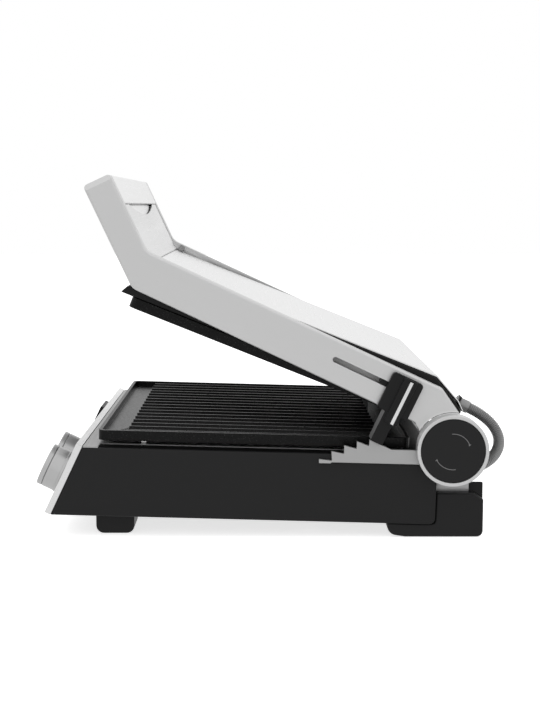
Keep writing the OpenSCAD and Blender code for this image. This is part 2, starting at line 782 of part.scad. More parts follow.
module conduit_collar() {
    color("gray") on_lid() translate([collar_x, -collar_a, collar_h]) rotate([-90, 0, 0])
        difference() {
            cylinder(h = collar_len, r = collar_r);
            translate([0, 0, -over]) cylinder(h = collar_len + 2 * over, r = conduit_r + gap);
        }
}
gland_wall = 2;
gland_lip = 3;
gland_r = conduit_r + gland_wall;
duct_r = conduit_r - conduit_wall;
module gland_hole(r) {
    translate([gland_x, rear_y - 2 * wall, hinge_base.y + gland_z])
        rotate([-90, 0, 0]) cylinder(h = 3 * wall, r = r);
}
module conduit_gland() {
    color("gray") on_base() translate([gland_x, rear_y, hinge_base.y + gland_z]) rotate([-90, 0, 0])
        difference() {
            union() {
                translate([0, 0, -wall - gland_wall]) cylinder(h = wall + gland_wall + gland_len, r = gland_r);
                cylinder(h = gland_lip, r = gland_r + gland_wall);
            }
            translate([0, 0, conduit_wall]) cylinder(h = gland_len, r = conduit_r + gap);
            translate([0, 0, -wall - gland_wall - over])
                cylinder(h = wall + 2 * gland_wall + over, r = duct_r);
        }
}
inlet_x = -60;
inlet_r = 5;
inlet_up = 22;
inlet_lip = 3;
inlet_wall = 2;
module inlet_hole() {
    translate([inlet_x, rear_y - 2 * wall, inlet_up]) rotate([-90, 0, 0]) cylinder(h = 3 * wall, r = inlet_r + run_gap);
}
module cord_inlet() {
    color("black") on_base() translate([inlet_x, rear_y, inlet_up]) rotate([-90, 0, 0]) difference() {
        union() {
            translate([0, 0, -wall - inlet_wall]) cylinder(h = wall + inlet_wall, r = inlet_r);
            cylinder(h = inlet_lip, r = inlet_r + inlet_lip);
        }
        translate([0, 0, -wall - inlet_wall - over])
            cylinder(h = wall + inlet_wall + inlet_lip + 2 * over, r = inlet_r - inlet_wall);
    }
}

// Flexible conduit: one ribbed tube with its bore
conduit_sides = 8;
conduit_groove = 0.8;
conduit_bend_n = conduit_ribs;
conduit_path = concat([conduit_p0], [for (k = [0 : conduit_bend_n]) bend_point(k / conduit_bend_n)], [conduit_p4]);
function path_dir(i) =
    let (n = len(conduit_path))
    i == 0 ? lid_dir
    : i == n - 1 ? -base_dir
    : unit(conduit_path[i + 1] - conduit_path[i - 1]);
function ring(i, r) =
    let (d = path_dir(i), side = unit(cross(d, [1, 0, 0])), up = cross(side, d))
    [for (k = [0 : conduit_sides - 1])
        let (a = 360 * (k + 0.5) / conduit_sides)
        conduit_path[i] + side * r * cos(a) + up * r * sin(a)];
conduit_n = len(conduit_path);
conduit_radii = [for (i = [0 : conduit_n - 1])
    (i <= 1 || i >= conduit_n - 2 || i % 2 == 0) ? conduit_r : conduit_r - conduit_groove];
conduit_points = concat(
    [for (i = [0 : conduit_n - 1]) each ring(i, conduit_radii[i])],
    [for (i = [0 : conduit_n - 1]) each ring(i, conduit_r - conduit_groove - conduit_wall)]);
function quad_pair(a, b, c, d) = [[a, b, c], [a, c, d]];
conduit_faces = let (m = conduit_sides, n = conduit_n, shift = n * m)
    concat(
        [for (i = [0 : n - 2], k = [0 : m - 1])
            each quad_pair(i * m + k, i * m + (k + 1) % m, (i + 1) * m + (k + 1) % m, (i + 1) * m + k)],
        [for (i = [0 : n - 2], k = [0 : m - 1])
            each quad_pair(shift + i * m + k, shift + (i + 1) * m + k,
                           shift + (i + 1) * m + (k + 1) % m, shift + i * m + (k + 1) % m)],
        [for (k = [0 : m - 1]) each quad_pair(k, shift + k, shift + (k + 1) % m, (k + 1) % m)],
        [for (k = [0 : m - 1])
            each quad_pair((n - 1) * m + k, (n - 1) * m + (k + 1) % m,
                           shift + (n - 1) * m + (k + 1) % m, shift + (n - 1) * m + k)]);
// Least gap of the conduit to itself, measured between path points that lie far apart along it
conduit_self = min([for (i = [0 : conduit_n - 1], j = [0 : conduit_n - 1])
    if (abs(i - j) > conduit_n / 3) norm(conduit_path[i] - conduit_path[j]) - conduit_d]);
echo(least_gap_of_conduit_to_itself = conduit_self);
module conduit() {
    color("darkgray") on_hinge() polyhedron(conduit_points, conduit_faces);
}

// Height clip on the right arm
clip_shift = 1;
clip_a = foot_a - clip_shift;
clip_half = 13.5;
clip_round = 2;
clip_under = 1.2;
clip_block_t = 5;
clip_x0 = arm_x1 + gap;
clip_x1 = clip_x0 + clip_block_t;
ridge_half = 5.8;
ridge_t = 2.5;
ridge_low = -2;
ridge_in = 0.5;
ridge_a = clip_a - 2 * clip_shift;
leg_out = 0.7;
leg_x0 = arm_x0 - leg_out;
clip_top = arm_high - clip_shift;
module height_clip() {
    color("#1c1c1c") on_lid() {
        reach_x(clip_x0, clip_x1)
            polygon(rounded([[clip_a - clip_half, arm_low - clip_under, clip_round],
                             [clip_a + clip_half, arm_low - clip_under, clip_round],
                             [clip_a + clip_half, clip_top, 1.5 * clip_round],
                             [clip_a - clip_half, clip_top, 1.5 * clip_round]]));
        reach_x(clip_x1, clip_x1 + ridge_t)
            polygon(rounded([[ridge_a - ridge_half, ridge_low, clip_round / 2], [ridge_a + ridge_half, ridge_low, clip_round / 2],
                             [ridge_a + ridge_half, clip_top - ridge_in, clip_round / 2],
                             [ridge_a - ridge_half, clip_top - ridge_in, clip_round / 2]]));
        reach_x(clip_x0, clip_x1)
            polygon([[foot_a - foot_w / 2, -foot_drop], [foot_a + foot_w / 2, -foot_drop],
                     [foot_a + foot_w / 2, arm_low], [foot_a - foot_w / 2, arm_low]]);
        reach_x(leg_x0, clip_x1)
            polygon([[foot_a - foot_w / 2, -foot_drop], [foot_a + foot_w / 2, -foot_drop],
                     [foot_a + foot_w / 2, arm_low - gap], [foot_a - foot_w / 2, arm_low - gap]]);
    }
}
module clip_slider() {
    color("black") on_lid() reach_x(arm_x0, clip_x0)
        slot_shape(foot_a - slider_tail, foot_a + slider_nose, slot_w - 2 * run_gap);
}
stripe_w = 2.7;
stripe_a = ridge_a - clip_shift;
stripe_t = 0.6;
module clip_stripe() {
    color("silver") on_lid() reach_x(clip_x1 + ridge_t, clip_x1 + ridge_t + stripe_t)
        polygon([[stripe_a - stripe_w / 2, ridge_low], [stripe_a + stripe_w / 2, ridge_low],
                 [stripe_a + stripe_w / 2, clip_top - 4 * ridge_in], [stripe_a - stripe_w / 2, clip_top - 4 * ridge_in]]);
}

// Floating head, in its own frame
head_drop = 22.4;
head_low = -head_drop;
housing_low = head_low + plate_h + gap;
cover_top = head_low + plate_h + head_h - sheet_t;
housing_in = 1;
housing_half = plate_half - housing_in;
// Points of nose and tail as [reach from the plate's edge, height, radius], in shares of head_unit
head_unit = 10;
nose_low_shares = [[1.02, 0, 0], [0.7, 0.6, 0.1], [0.4, 0.8, 0]];
nose_top_shares = [[-0.05, -0.35, 0.2]];
tail_top_shares = [[-2.15, -1.34, 0], [-2.85, -1.9, 0], [-2.75, -2.2, 0]];
tail_low_shares = [[-0.55, 0, 0.3]];
roof_front = 3.5;
roof_rear = 1.9;
function placed(shares, reach, level) = [for (p = shares) p * head_unit + [reach, level, 0]];
housing_outline = rounded(concat(
    placed(nose_low_shares, plate_f1, housing_low), placed(nose_top_shares, plate_f1, cover_top),
    [[plate_f1 - roof_front, cover_top - gap, 0], [plate_f0 + roof_rear, cover_top - gap, 0]],
    placed(tail_top_shares, plate_f0, cover_top), placed(tail_low_shares, plate_f0, housing_low)));
head_wall = 2.5;
cavity_low = 0.5;
cavity_front = 5.5;
cavity_rear = 6.5;
module head_housing() {
    inner = housing_half - head_wall;
    color("black") on_head() difference() {
        reach_x(-housing_half, housing_half) polygon(housing_outline);
        reach_x(-inner, inner)
            polygon([[plate_f1 + cavity_low, housing_low - over], [plate_f1 - cavity_front, cover_top - gap - head_wall],
                     [plate_f0 + cavity_rear, cover_top - gap - head_wall], [plate_f0 + cavity_low, housing_low - over]]);
        translate([0, -float_reach, 0]) both_sides() rod_x(inner - over, housing_half + over, float_r + run_gap);
    }
}
cover_half = cover_w / 2;
cover_crest_shares = [[0.07, 0, 0.2]];
cover_brow_shares = [[-0.2, 0, 0.25]];
cover_lip_shares = [[0.01, -0.24, 0]];
cover_front_shares = [[-0.15, -0.24, 0], [-0.25, 0, 0.1]];
cover_inner_shares = [[0.11, 0, 0.1], [-2.3, -1.24, 0], [-2.95, -1.87, 0], [-3.03, -1.8, 0], [-2.37, -1.16, 0]];
module lid_cover() {
    color("gainsboro") on_head() {
        reach_x(-cover_half, cover_half)
            polygon(rounded(concat(placed(cover_front_shares, plate_f1, cover_top),
                                   placed(cover_inner_shares, plate_f0, cover_top),
                                   placed(cover_crest_shares, plate_f0, cover_top + sheet_t),
                                   placed(cover_brow_shares, plate_f1, cover_top + sheet_t),
                                   placed(cover_lip_shares, plate_f1, cover_top))));
    }
}
module upper_plate() {
    color("#2a2a2a") on_head() translate([0, -plate_f1, head_low + plate_h]) mirror([0, 0, 1]) grill_plate();
}
module upper_plate_clips() {
    color("silver") on_head() both_sides() for (f = [plate_f1 - clip_inset, plate_f1 - plate_d + clip_inset])
        translate([housing_half - head_wall - 2 * clip_t, -f, housing_low]) cube([clip_t, clip_w, 6 * clip_t]);
}
up_pan_depth = 14;
module upper_heater() {
    color("gray") on_head()
        translate([0, -plate_f1 + (pan_front - plate_front) + heater_bend + heater_front, housing_low + heater_r])
            heater_pair(heater_len);
}
module upper_reflector() {
    color("silver") on_head()
        translate([0, -plate_f1 + (pan_front - plate_front), housing_low])
            difference() {
                translate([-pan_half, 0, 0]) cube([2 * pan_half, pan_rear - pan_front, up_pan_depth]);
                translate([-pan_half + pan_t, pan_t, -over])
                    cube([2 * (pan_half - pan_t), pan_rear - pan_front - 2 * pan_t, up_pan_depth - pan_t + over]);
            }
}
module upper_thermostat() {
    color("tan") on_head()
        translate([0, -plate_f1 + (pan_front - plate_front) + (pan_rear - pan_front) / 2, housing_low])
            cylinder(h = up_pan_depth - pan_t, r = probe_r);
}

// Feet, each with a rubber pad let into its underside
pad_t = 2.4;
pad_proud = 0.5;
pad_r = 12;
module pad_shapes(grow, h) {
    translate([foot_x, origin_y + foot_y, 0]) cylinder(h = h, r = pad_r + grow);
    translate([block_x1 - foot_size / 2, origin_y, 0]) cylinder(h = h, r = pad_r + grow);
}
block_x0 = plate_half;
block_in = 3;
block_x1 = half_w - block_in;
block_front = -52.4;
block_back = 28;
block_top = 37.5;
block_low = pad_proud;
block_unit = 10;
block_front_shares = [[0, 1.55, 0], [0.25, 0.2, 0.8], [1.6, 0, 1]];
block_back_shares = [[0, 0, 0.5]];
block_crown_shares = [[0, -0.55, 0.2], [-0.8, 0, 0.2]];
function block_points(shares, y, z) = [for (p = shares) p * block_unit + [y, z, 0]];
block_outline = rounded(concat(
    block_points(block_front_shares, block_front, block_low), block_points(block_back_shares, block_back, block_low),
    block_points(block_crown_shares, block_back, block_top), [[block_front, block_top, 0]]));
// The inner part ends in front of the head's path when the lid lies flat, and a low ledge goes on
step_y = 0;
ledge_h = 11.5;
// Space taken by the housing, in the world frame
module housing_space() {
    on_base() translate([-half_w - over, -base_front - over, 0])
        cube([base_w + 2 * over, base_front + rear_y + over + gap, base_h + 2 * over]);
}
module rear_foot() {
    inner_x = block_x1 - foot_size;
    difference() {
        translate([0, origin_y, 0]) {
            along_x(block_x0, block_x1) polygon(block_outline);
            intersection() {
                along_x(inner_x, block_x1) polygon(block_outline);
                union() {
                    translate([inner_x, block_front - over, 0])
                        cube([foot_size, step_y - block_front + over, block_top + over]);
                    translate([inner_x, block_front - over, 0])
                        cube([foot_size, block_back - block_front + 2 * over, ledge_h]);
                }
            }
        }
        housing_space();
        pad_shapes(gap / 2, pad_t + gap / 2);
    }
}
module rear_foot_right() {
    color("#202020") rear_foot();
}
module rear_foot_left() {
    color("#202020") mirror([1, 0, 0]) rear_foot();
}
foot_side = 32;
foot_x = half_w - foot_side;
foot_in = 51.7;
foot_y = foot_in - base_front;
foot_size = 32;
foot_round = 6.5;
foot_top = 30;
module front_feet() {
    color("#202020") both_sides() difference() {
        translate([0, origin_y + foot_y, 0]) along_x(foot_x - foot_size / 2, foot_x + foot_size / 2)
            polygon(rounded([[-foot_size / 2, pad_proud, foot_round], [foot_size / 2, pad_proud, foot_round],
                             [foot_size / 2, foot_top, 0], [-foot_size / 2, foot_top, 0]]));
        housing_space();
        pad_shapes(gap / 2, pad_t + gap / 2);
    }
}
module foot_pads() {
    color("black") both_sides() pad_shapes(0, pad_t);
}

// Drip tray that slides out of the left side
grip_w = 36;
grip_h = 5;
grip_top = 9;
module drip_tray() {
    w = tray_rear - tray_front;
    z0 = cover_t + gap;
    color("#303030") on_base() difference() {
        translate([-half_w, tray_front, z0]) cube([half_w + tray_reach, w, tray_h]);
        translate([-half_w + 2 * wall, tray_front + wall, z0 + wall])
            cube([half_w + tray_reach - 3 * wall, w - 2 * wall, tray_h]);
        translate([-half_w - over, (tray_front + tray_rear - grip_w) / 2, z0 + tray_h - grip_top])
            cube([wall + over, grip_w, grip_h]);
    }
}

base_shell();
bottom_cover();
control_panel();
top_deck();
display_bezel();
display_window();
control_board();
rotary_controls();
knob_right();
knob_middle();
lower_plate();
lower_plate_clips();
lower_heater();
lower_reflector();
lower_thermostat();
height_rack_right();
hinge_bracket_left();
hinge_pins();
rear_foot_right();
rear_foot_left();
front_feet();
foot_pads();
base_screws();
drip_tray();
conduit_gland();
cord_inlet();
conduit();
arm_right();
arm_left();
handle_bar();
handle_front();
handle_back();
head_stops();
float_pins();
conduit_bracket();
conduit_collar();
release_button_right();
release_button_left();
button_spring_right();
button_spring_left();
height_clip();
clip_slider();
clip_stripe();
lid_cover();
head_housing();
upper_plate();
upper_plate_clips();
upper_heater();
upper_reflector();
upper_thermostat();
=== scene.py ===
"""Looks of an electric indoor grill with a lid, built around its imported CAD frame.

Sizes of pieces are in millimetres and angles in degrees, and places are counted from the lid's
hinge, unless a class says otherwise. The finished meshes are in metres. REST_ANGLE is the slope of
the arms in the photographed pose, and SIDES pairs each side's name with its sign along x.
"""

import json
import logging
import math
from dataclasses import dataclass, field
from enum import Enum
from typing import Callable, Iterable

import bmesh
import bpy
from mathutils import Matrix, Vector


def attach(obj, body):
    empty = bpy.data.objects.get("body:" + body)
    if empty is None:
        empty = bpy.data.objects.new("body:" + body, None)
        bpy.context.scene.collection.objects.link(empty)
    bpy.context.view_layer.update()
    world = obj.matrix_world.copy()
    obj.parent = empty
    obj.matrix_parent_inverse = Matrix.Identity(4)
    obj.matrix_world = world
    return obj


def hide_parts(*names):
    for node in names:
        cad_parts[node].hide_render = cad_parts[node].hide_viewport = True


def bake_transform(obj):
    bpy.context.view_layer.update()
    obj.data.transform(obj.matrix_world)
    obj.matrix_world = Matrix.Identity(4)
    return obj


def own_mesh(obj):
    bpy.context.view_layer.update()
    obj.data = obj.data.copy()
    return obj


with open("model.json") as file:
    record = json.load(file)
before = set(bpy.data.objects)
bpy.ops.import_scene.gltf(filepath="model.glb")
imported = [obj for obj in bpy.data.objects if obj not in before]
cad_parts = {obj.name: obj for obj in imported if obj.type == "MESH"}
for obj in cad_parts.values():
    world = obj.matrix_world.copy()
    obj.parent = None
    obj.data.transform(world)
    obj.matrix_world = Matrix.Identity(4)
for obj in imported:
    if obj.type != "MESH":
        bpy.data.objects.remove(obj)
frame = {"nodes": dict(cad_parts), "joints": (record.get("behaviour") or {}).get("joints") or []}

LOG = logging.getLogger("grill")
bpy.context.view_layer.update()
MM = 0.001
LID_HINGE = next(joint for joint in frame["joints"] if joint["name"] == "lid_hinge")
HINGE = tuple(place / MM for place in LID_HINGE["pos_m"])
REST_ANGLE = 25.5
SIDES = (("right", 1), ("left", -1))

Pair = tuple[float, float]
Triple = tuple[float, float, float]


class Slot(Enum):
    """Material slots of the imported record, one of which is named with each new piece."""

    CHARCOAL = "charcoal"
    BLACK = "black"
    CAST = "die_cast"
    STEEL = "steel"
    RACK = "rack_steel"
    KNOB = "knob_metal"
    PLATE = "plate_coating"
    BRIGHT = "bright_steel"
    WINDOW = "window"
    CONDUIT = "conduit_metal"


class ShaderGraph:
    """Node tree of one material, with short ways to add and join its nodes."""

    def __init__(self, name: str) -> None:
        """Start an empty node tree with a Principled shader and an output.

        Args:
            name: Name of the new material.
        """
        self.material = bpy.data.materials.new(name)
        self.material.use_nodes = True
        self.nodes = self.material.node_tree.nodes
        self.links = self.material.node_tree.links
        self.nodes.clear()
        self.output = self.nodes.new("ShaderNodeOutputMaterial")
        self.shader = self.nodes.new("ShaderNodeBsdfPrincipled")
        self.join(self.shader, "BSDF", self.output, "Surface")
        self._place = self.nodes.new("ShaderNodeTexCoord")

    def join(self, source: bpy.types.Node, out: str, target: bpy.types.Node, into: str) -> None:
        """Link an output of one node to an input of another.

        Args:
            source: Node that gives the value.
            out: Name of its output.
            target: Node that takes the value.
            into: Name of its input.
        """
        self.links.new(source.outputs[out], target.inputs[into])

    def place(self, scale: Triple = (1.0, 1.0, 1.0)) -> bpy.types.Node:
        """Object coordinates, scaled.

        Args:
            scale: Factor along each axis.

        Returns:
            The Mapping node, whose output is Vector.
        """
        mapping = self.nodes.new("ShaderNodeMapping")
        mapping.inputs["Scale"].default_value = scale
        self.join(self._place, "Object", mapping, "Vector")
        return mapping

    def noise(self, where: bpy.types.Node, scale: float, detail: float = 2.0,
              rough: float = 0.5) -> bpy.types.Node:
        """Noise texture on the given coordinates.

        Args:
            where: Mapping node that gives the coordinates.
            scale: Number of grains in a metre.
            detail: Octaves of finer noise.
            rough: Share of the finer octaves.

        Returns:
            The noise node, whose output is Fac.
        """
        node = self.nodes.new("ShaderNodeTexNoise")
        node.inputs["Scale"].default_value = scale
        node.inputs["Detail"].default_value = detail
        node.inputs["Roughness"].default_value = rough
        self.join(where, "Vector", node, "Vector")
        return node

    def ramp(self, source: bpy.types.Node, out: str, band: Pair, to: Pair) -> bpy.types.Node:
        """Map a range of one value to another, clamped.

        Args:
            source: Node that gives the value.
            out: Name of its output.
            band: Lowest and highest value that are read.
            to: What those two become.

        Returns:
            The Map Range node, whose output is Result.
        """
        node = self.nodes.new("ShaderNodeMapRange")
        node.inputs["From Min"].default_value, node.inputs["From Max"].default_value = band
        node.inputs["To Min"].default_value, node.inputs["To Max"].default_value = to
        self.join(source, out, node, "Value")
        return node

    def blend(self, factor: bpy.types.Node, out: str, first: Triple,
              second: Triple) -> bpy.types.Node:
        """Mix two colours by a value.

        Args:
            factor: Node that gives the value.
            out: Name of its output.
            first: Colour at 0.
            second: Colour at 1.

        Returns:
            The Mix node, whose output is Color.
        """
        node = self.nodes.new("ShaderNodeMixRGB")
        node.inputs["Color1"].default_value = (*first, 1.0)
        node.inputs["Color2"].default_value = (*second, 1.0)
        self.join(factor, out, node, "Fac")
        return node

    def bump(self, height: bpy.types.Node, strength: float, depth: float) -> None:
        """Feed the height of a noise into the shader's normal.

        Args:
            height: Noise node that gives the height.
            strength: Strength of the bump.
            depth: Depth of the relief in metres.
        """
        node = self.nodes.new("ShaderNodeBump")
        node.inputs["Strength"].default_value = strength
        node.inputs["Distance"].default_value = depth
        self.join(height, "Fac", node, "Height")
        self.join(node, "Normal", self.shader, "Normal")


def grey(value: float) -> Triple:
    """A neutral grey as a colour of three numbers."""
    return (value, value, value)


def shade(colour: Triple, factor: float) -> Triple:
    """A colour made lighter or darker by a factor."""
    return tuple(min(1.0, c * factor) for c in colour)


@dataclass(frozen=True)
class Finish:
    """A plain finish with fine grain; the other finishes build on it.

    Grain and cloud are counted to the metre, and relief is the grain's depth in metres. Spread is
    how much darker and lighter the colour gets, as a share of it.
    """

    name: str
    colour: Triple
    roughness: float
    metallic: float = 0.0
    specular: float = 0.5
    grain: float = 900.0
    relief: float = 0.00002
    spread: float = 0.12
    cloud: float = 14.0
    cloud_detail: float = 3.0
    gloss_band: Pair = (0.3, 0.7)
    gloss_factors: Pair = (0.92, 1.08)
    bump_strength: float = 0.35

    def graph(self) -> ShaderGraph:
        """Start the finish's material with its uniform values.

        Returns:
            The shader graph.
        """
        graph = ShaderGraph(self.name)
        graph.shader.inputs["Base Color"].default_value = (*self.colour, 1.0)
        graph.shader.inputs["Roughness"].default_value = self.roughness
        graph.shader.inputs["Metallic"].default_value = self.metallic
        graph.shader.inputs["Specular IOR Level"].default_value = self.specular
        return graph

    def tone(self, graph: ShaderGraph, source: bpy.types.Node) -> None:
        """Let a noise make the colour a little darker and lighter.

        Args:
            graph: The finish's graph.
            source: The noise.
        """
        blend = graph.blend(source, "Fac", shade(self.colour, 1 - self.spread),
                            shade(self.colour, 1 + self.spread))
        graph.join(blend, "Color", graph.shader, "Base Color")

    def gloss(self, graph: ShaderGraph, source: bpy.types.Node, rough: Pair) -> None:
        """Let a noise change the roughness.

        Args:
            graph: The finish's graph.
            source: The noise.
            rough: Lowest and highest roughness.
        """
        ramp = graph.ramp(source, "Fac", self.gloss_band, rough)
        graph.join(ramp, "Result", graph.shader, "Roughness")

    def build(self) -> bpy.types.Material:
        """Material with a faint change of tone, an uneven gloss and fine grain.

        Returns:
            The new material.
        """
        graph = self.graph()
        where = graph.place()
        cloud = graph.noise(where, self.cloud, self.cloud_detail)
        self.tone(graph, cloud)
        low, high = (self.roughness * factor for factor in self.gloss_factors)
        self.gloss(graph, cloud, (low, min(1.0, high)))
        graph.bump(graph.noise(where, self.grain), self.bump_strength, self.relief)
        return graph.material


@dataclass(frozen=True)
class GrainedFinish(Finish):
    """Soft clouds of tone under a grain that sets both gloss and relief."""

    cloud_detail: float = 2.0
    grain_detail: float = 2.0
    grain_rough: float = 0.6
    gloss_range: Pair = (-0.04, 0.05)
    bump_strength: float = 0.3

    def build(self) -> bpy.types.Material:
        """Material with two sizes of grain.

        Returns:
            The new material.
        """
        graph = self.graph()
        where = graph.place()
        grain = graph.noise(where, self.grain, self.grain_detail, self.grain_rough)
        self.tone(graph, graph.noise(where, self.cloud, self.cloud_detail))
        self.gloss(graph, grain, tuple(self.roughness + step for step in self.gloss_range))
        graph.bump(grain, self.bump_strength, self.relief)
        return graph.material


@dataclass(frozen=True)
class MouldedPlastic(GrainedFinish):
    """Moulded plastic with a spark-eroded texture, rubbed a little smoother in places."""

    cloud: float = 9.0
    grain_detail: float = 3.0
    gloss_band: Pair = (0.35, 0.65)
    gloss_range: Pair = (-0.05, 0.07)
    bump_strength: float = 0.5


@dataclass(frozen=True)
class SatinCasting(GrainedFinish):
    """Die-cast or spun metal, blasted and satin coated."""

    cloud: float = 5.0


@dataclass(frozen=True)
class BrushedMetal(Finish):
    """Metal with fine parallel brush lines across the grill's width.

    Line is the number of brush lines in a metre, and stretch draws them out along x.
    """

    stretch: Triple = (0.02, 1.0, 1.0)
    line: float = 700.0
    line_detail: float = 4.0
    line_rough: float = 0.7
    gloss_range: Pair = (-0.05, 0.06)
    anisotropy: float = 0.35
    bump_strength: float = 0.25

    def build(self) -> bpy.types.Material:
        """Material whose lines come from noise stretched along the brushing.

        Returns:
            The new material.
        """
        graph = self.graph()
        where = graph.place(self.stretch)
        lines = graph.noise(where, self.line, self.line_detail, self.line_rough)
        self.tone(graph, lines)
        self.gloss(graph, lines, tuple(self.roughness + step for step in self.gloss_range))
        graph.shader.inputs["Anisotropic"].default_value = self.anisotropy
        graph.bump(lines, self.bump_strength, self.relief)
        return graph.material


@dataclass(frozen=True)
class PlateCoating(Finish):
    """Non-stick coating with fine pale flecks and a pebbled surface."""

    fleck: Triple = grey(0.035)
    fleck_scale: float = 1100.0
    fleck_detail: float = 1.0
    fleck_rough: float = 0.4
    fleck_band: Pair = (0.66, 0.70)
    pebble: float = 520.0
    gloss_step: float = 0.04
    bump_strength: float = 0.4

    def build(self) -> bpy.types.Material:
        """Material with flecks from a sharp threshold on fine noise.

        Returns:
            The new material.
        """
        graph = self.graph()
        where = graph.place()
        dots = graph.noise(where, self.fleck_scale, self.fleck_detail, self.fleck_rough)
        mask = graph.ramp(dots, "Fac", self.fleck_band, (0.0, 1.0))
        tone = graph.blend(mask, "Result", self.colour, self.fleck)
        graph.join(tone, "Color", graph.shader, "Base Color")
        pebble = graph.noise(where, self.pebble)
        step = self.gloss_step
        self.gloss(graph, pebble, (self.roughness - step, self.roughness + step))
        graph.bump(pebble, self.bump_strength, self.relief)
        return graph.material


@dataclass(frozen=True)
class Finishes:
    """All finishes of the grill."""

    shell: Finish = MouldedPlastic("moulded_charcoal", (0.011, 0.011, 0.0113), 0.42, specular=0.2,
                                   grain=1500.0, relief=0.00003, spread=0.06)
    black: Finish = MouldedPlastic("moulded_black", (0.007, 0.007, 0.0071), 0.4, specular=0.2,
                                   grain=1700.0, relief=0.00003, spread=0.06)
    button: Finish = MouldedPlastic("button_charcoal", (0.012, 0.012, 0.0123), 0.4, specular=0.2,
                                    grain=2000.0, relief=0.00002, spread=0.04)
    rubber: Finish = Finish("rubber", grey(0.012), 0.85, specular=0.25, grain=1200.0)
    stop: Finish = Finish("grey_rubber", grey(0.3), 0.7, specular=0.25, grain=1200.0)
    # Near-black finish of the strips that paint the shade in the dark gaps beside the lower plate.
    channel_shade_paint: Finish = Finish("painted_channel_shade", grey(0.003), 0.85, specular=0.04, grain=1200.0)
    cast: Finish = SatinCasting("satin_casting", grey(0.62), 0.42, metallic=0.75, specular=0.4,
                                grain=2200.0, relief=0.000012, spread=0.02)
    # Pale finish of the backing in the arm's slot: painted light that brightens the slot's shaded
    # inside.
    painted_light_backing: Finish = SatinCasting("painted_light_slot_backing", grey(0.8), 0.6, grain=1800.0, spread=0.03)
    rack: Finish = SatinCasting("rack_metal", grey(0.42), 0.45, metallic=0.8, grain=1800.0,
                                spread=0.03)
    knob: Finish = SatinCasting("knob_metal", grey(0.5), 0.33, metallic=1.0, grain=2400.0,
                                relief=0.000006, spread=0.015)
    heater: Finish = SatinCasting("heater_sheath", (0.2, 0.19, 0.18), 0.5, metallic=0.9,
                                  grain=900.0, spread=0.1)
    bright: Finish = SatinCasting("bright_steel", grey(0.78), 0.18, metallic=1.0, grain=1500.0,
                                  spread=0.02)
    conduit: Finish = SatinCasting("conduit_metal", grey(0.3), 0.4, metallic=0.7, grain=1400.0,
                                   spread=0.04)
    panel: Finish = BrushedMetal("panel_steel", grey(0.78), 0.3, metallic=1.0, spread=0.04,
                                 relief=0.00001)
    cover: Finish = BrushedMetal("cover_steel", grey(0.79), 0.3, metallic=1.0, spread=0.015,
                                 relief=0.0000015)
    sheet: Finish = BrushedMetal("sheet_steel", grey(0.68), 0.3, metallic=1.0, spread=0.03,
                                 relief=0.000006)
    deck: Finish = BrushedMetal("deck_steel", grey(0.36), 0.4, metallic=0.7, spread=0.04,
                                relief=0.00001)
    plate: Finish = PlateCoating("plate_coating", grey(0.004), 0.3, specular=0.14,
                                 relief=0.000012)
    window: Finish = Finish("window_gloss", (0.01, 0.012, 0.014), 0.08, specular=0.6,
                            relief=0.000001)
    board: Finish = MouldedPlastic("board_lacquer", (0.01, 0.09, 0.03), 0.35, grain=600.0)
    ceramic: Finish = Finish("ceramic", (0.7, 0.64, 0.52), 0.3, spread=0.06)
    mark: Finish = Finish("arrow_print", grey(0.16), 0.55, relief=0.000004, spread=0.04)


@dataclass(frozen=True)
class Rounding:
    """How the edges of a copied node are rounded, in millimetres and degrees.

    Edges sharper than angle are rounded, and those flatter than smooth are shaded smooth. Where
    flats gives distances from the middle plane, only edges in these flats are rounded, each by the
    share of the width that share gives for the edge's middle.
    """

    width: float
    segments: int = 3
    angle: float = 32.0
    smooth: float = 32.0
    flats: tuple[float, ...] = ()
    share: Callable[[Vector], float] | None = None


@dataclass(frozen=True)
class Box:
    """A box on the right side, by its extent along x, y and z and the width of its rounding."""

    x: Pair
    y: Pair
    z: Pair
    round: float

    def corners(self, sign: int) -> tuple[Vector, Vector]:
        """Lowest and highest corner.

        Args:
            sign: 1 on the right, -1 mirrored to the left.

        Returns:
            The two corners.
        """
        across = sorted(sign * x for x in self.x)
        return tuple(Vector(corner) for corner in zip(across, self.y, self.z))


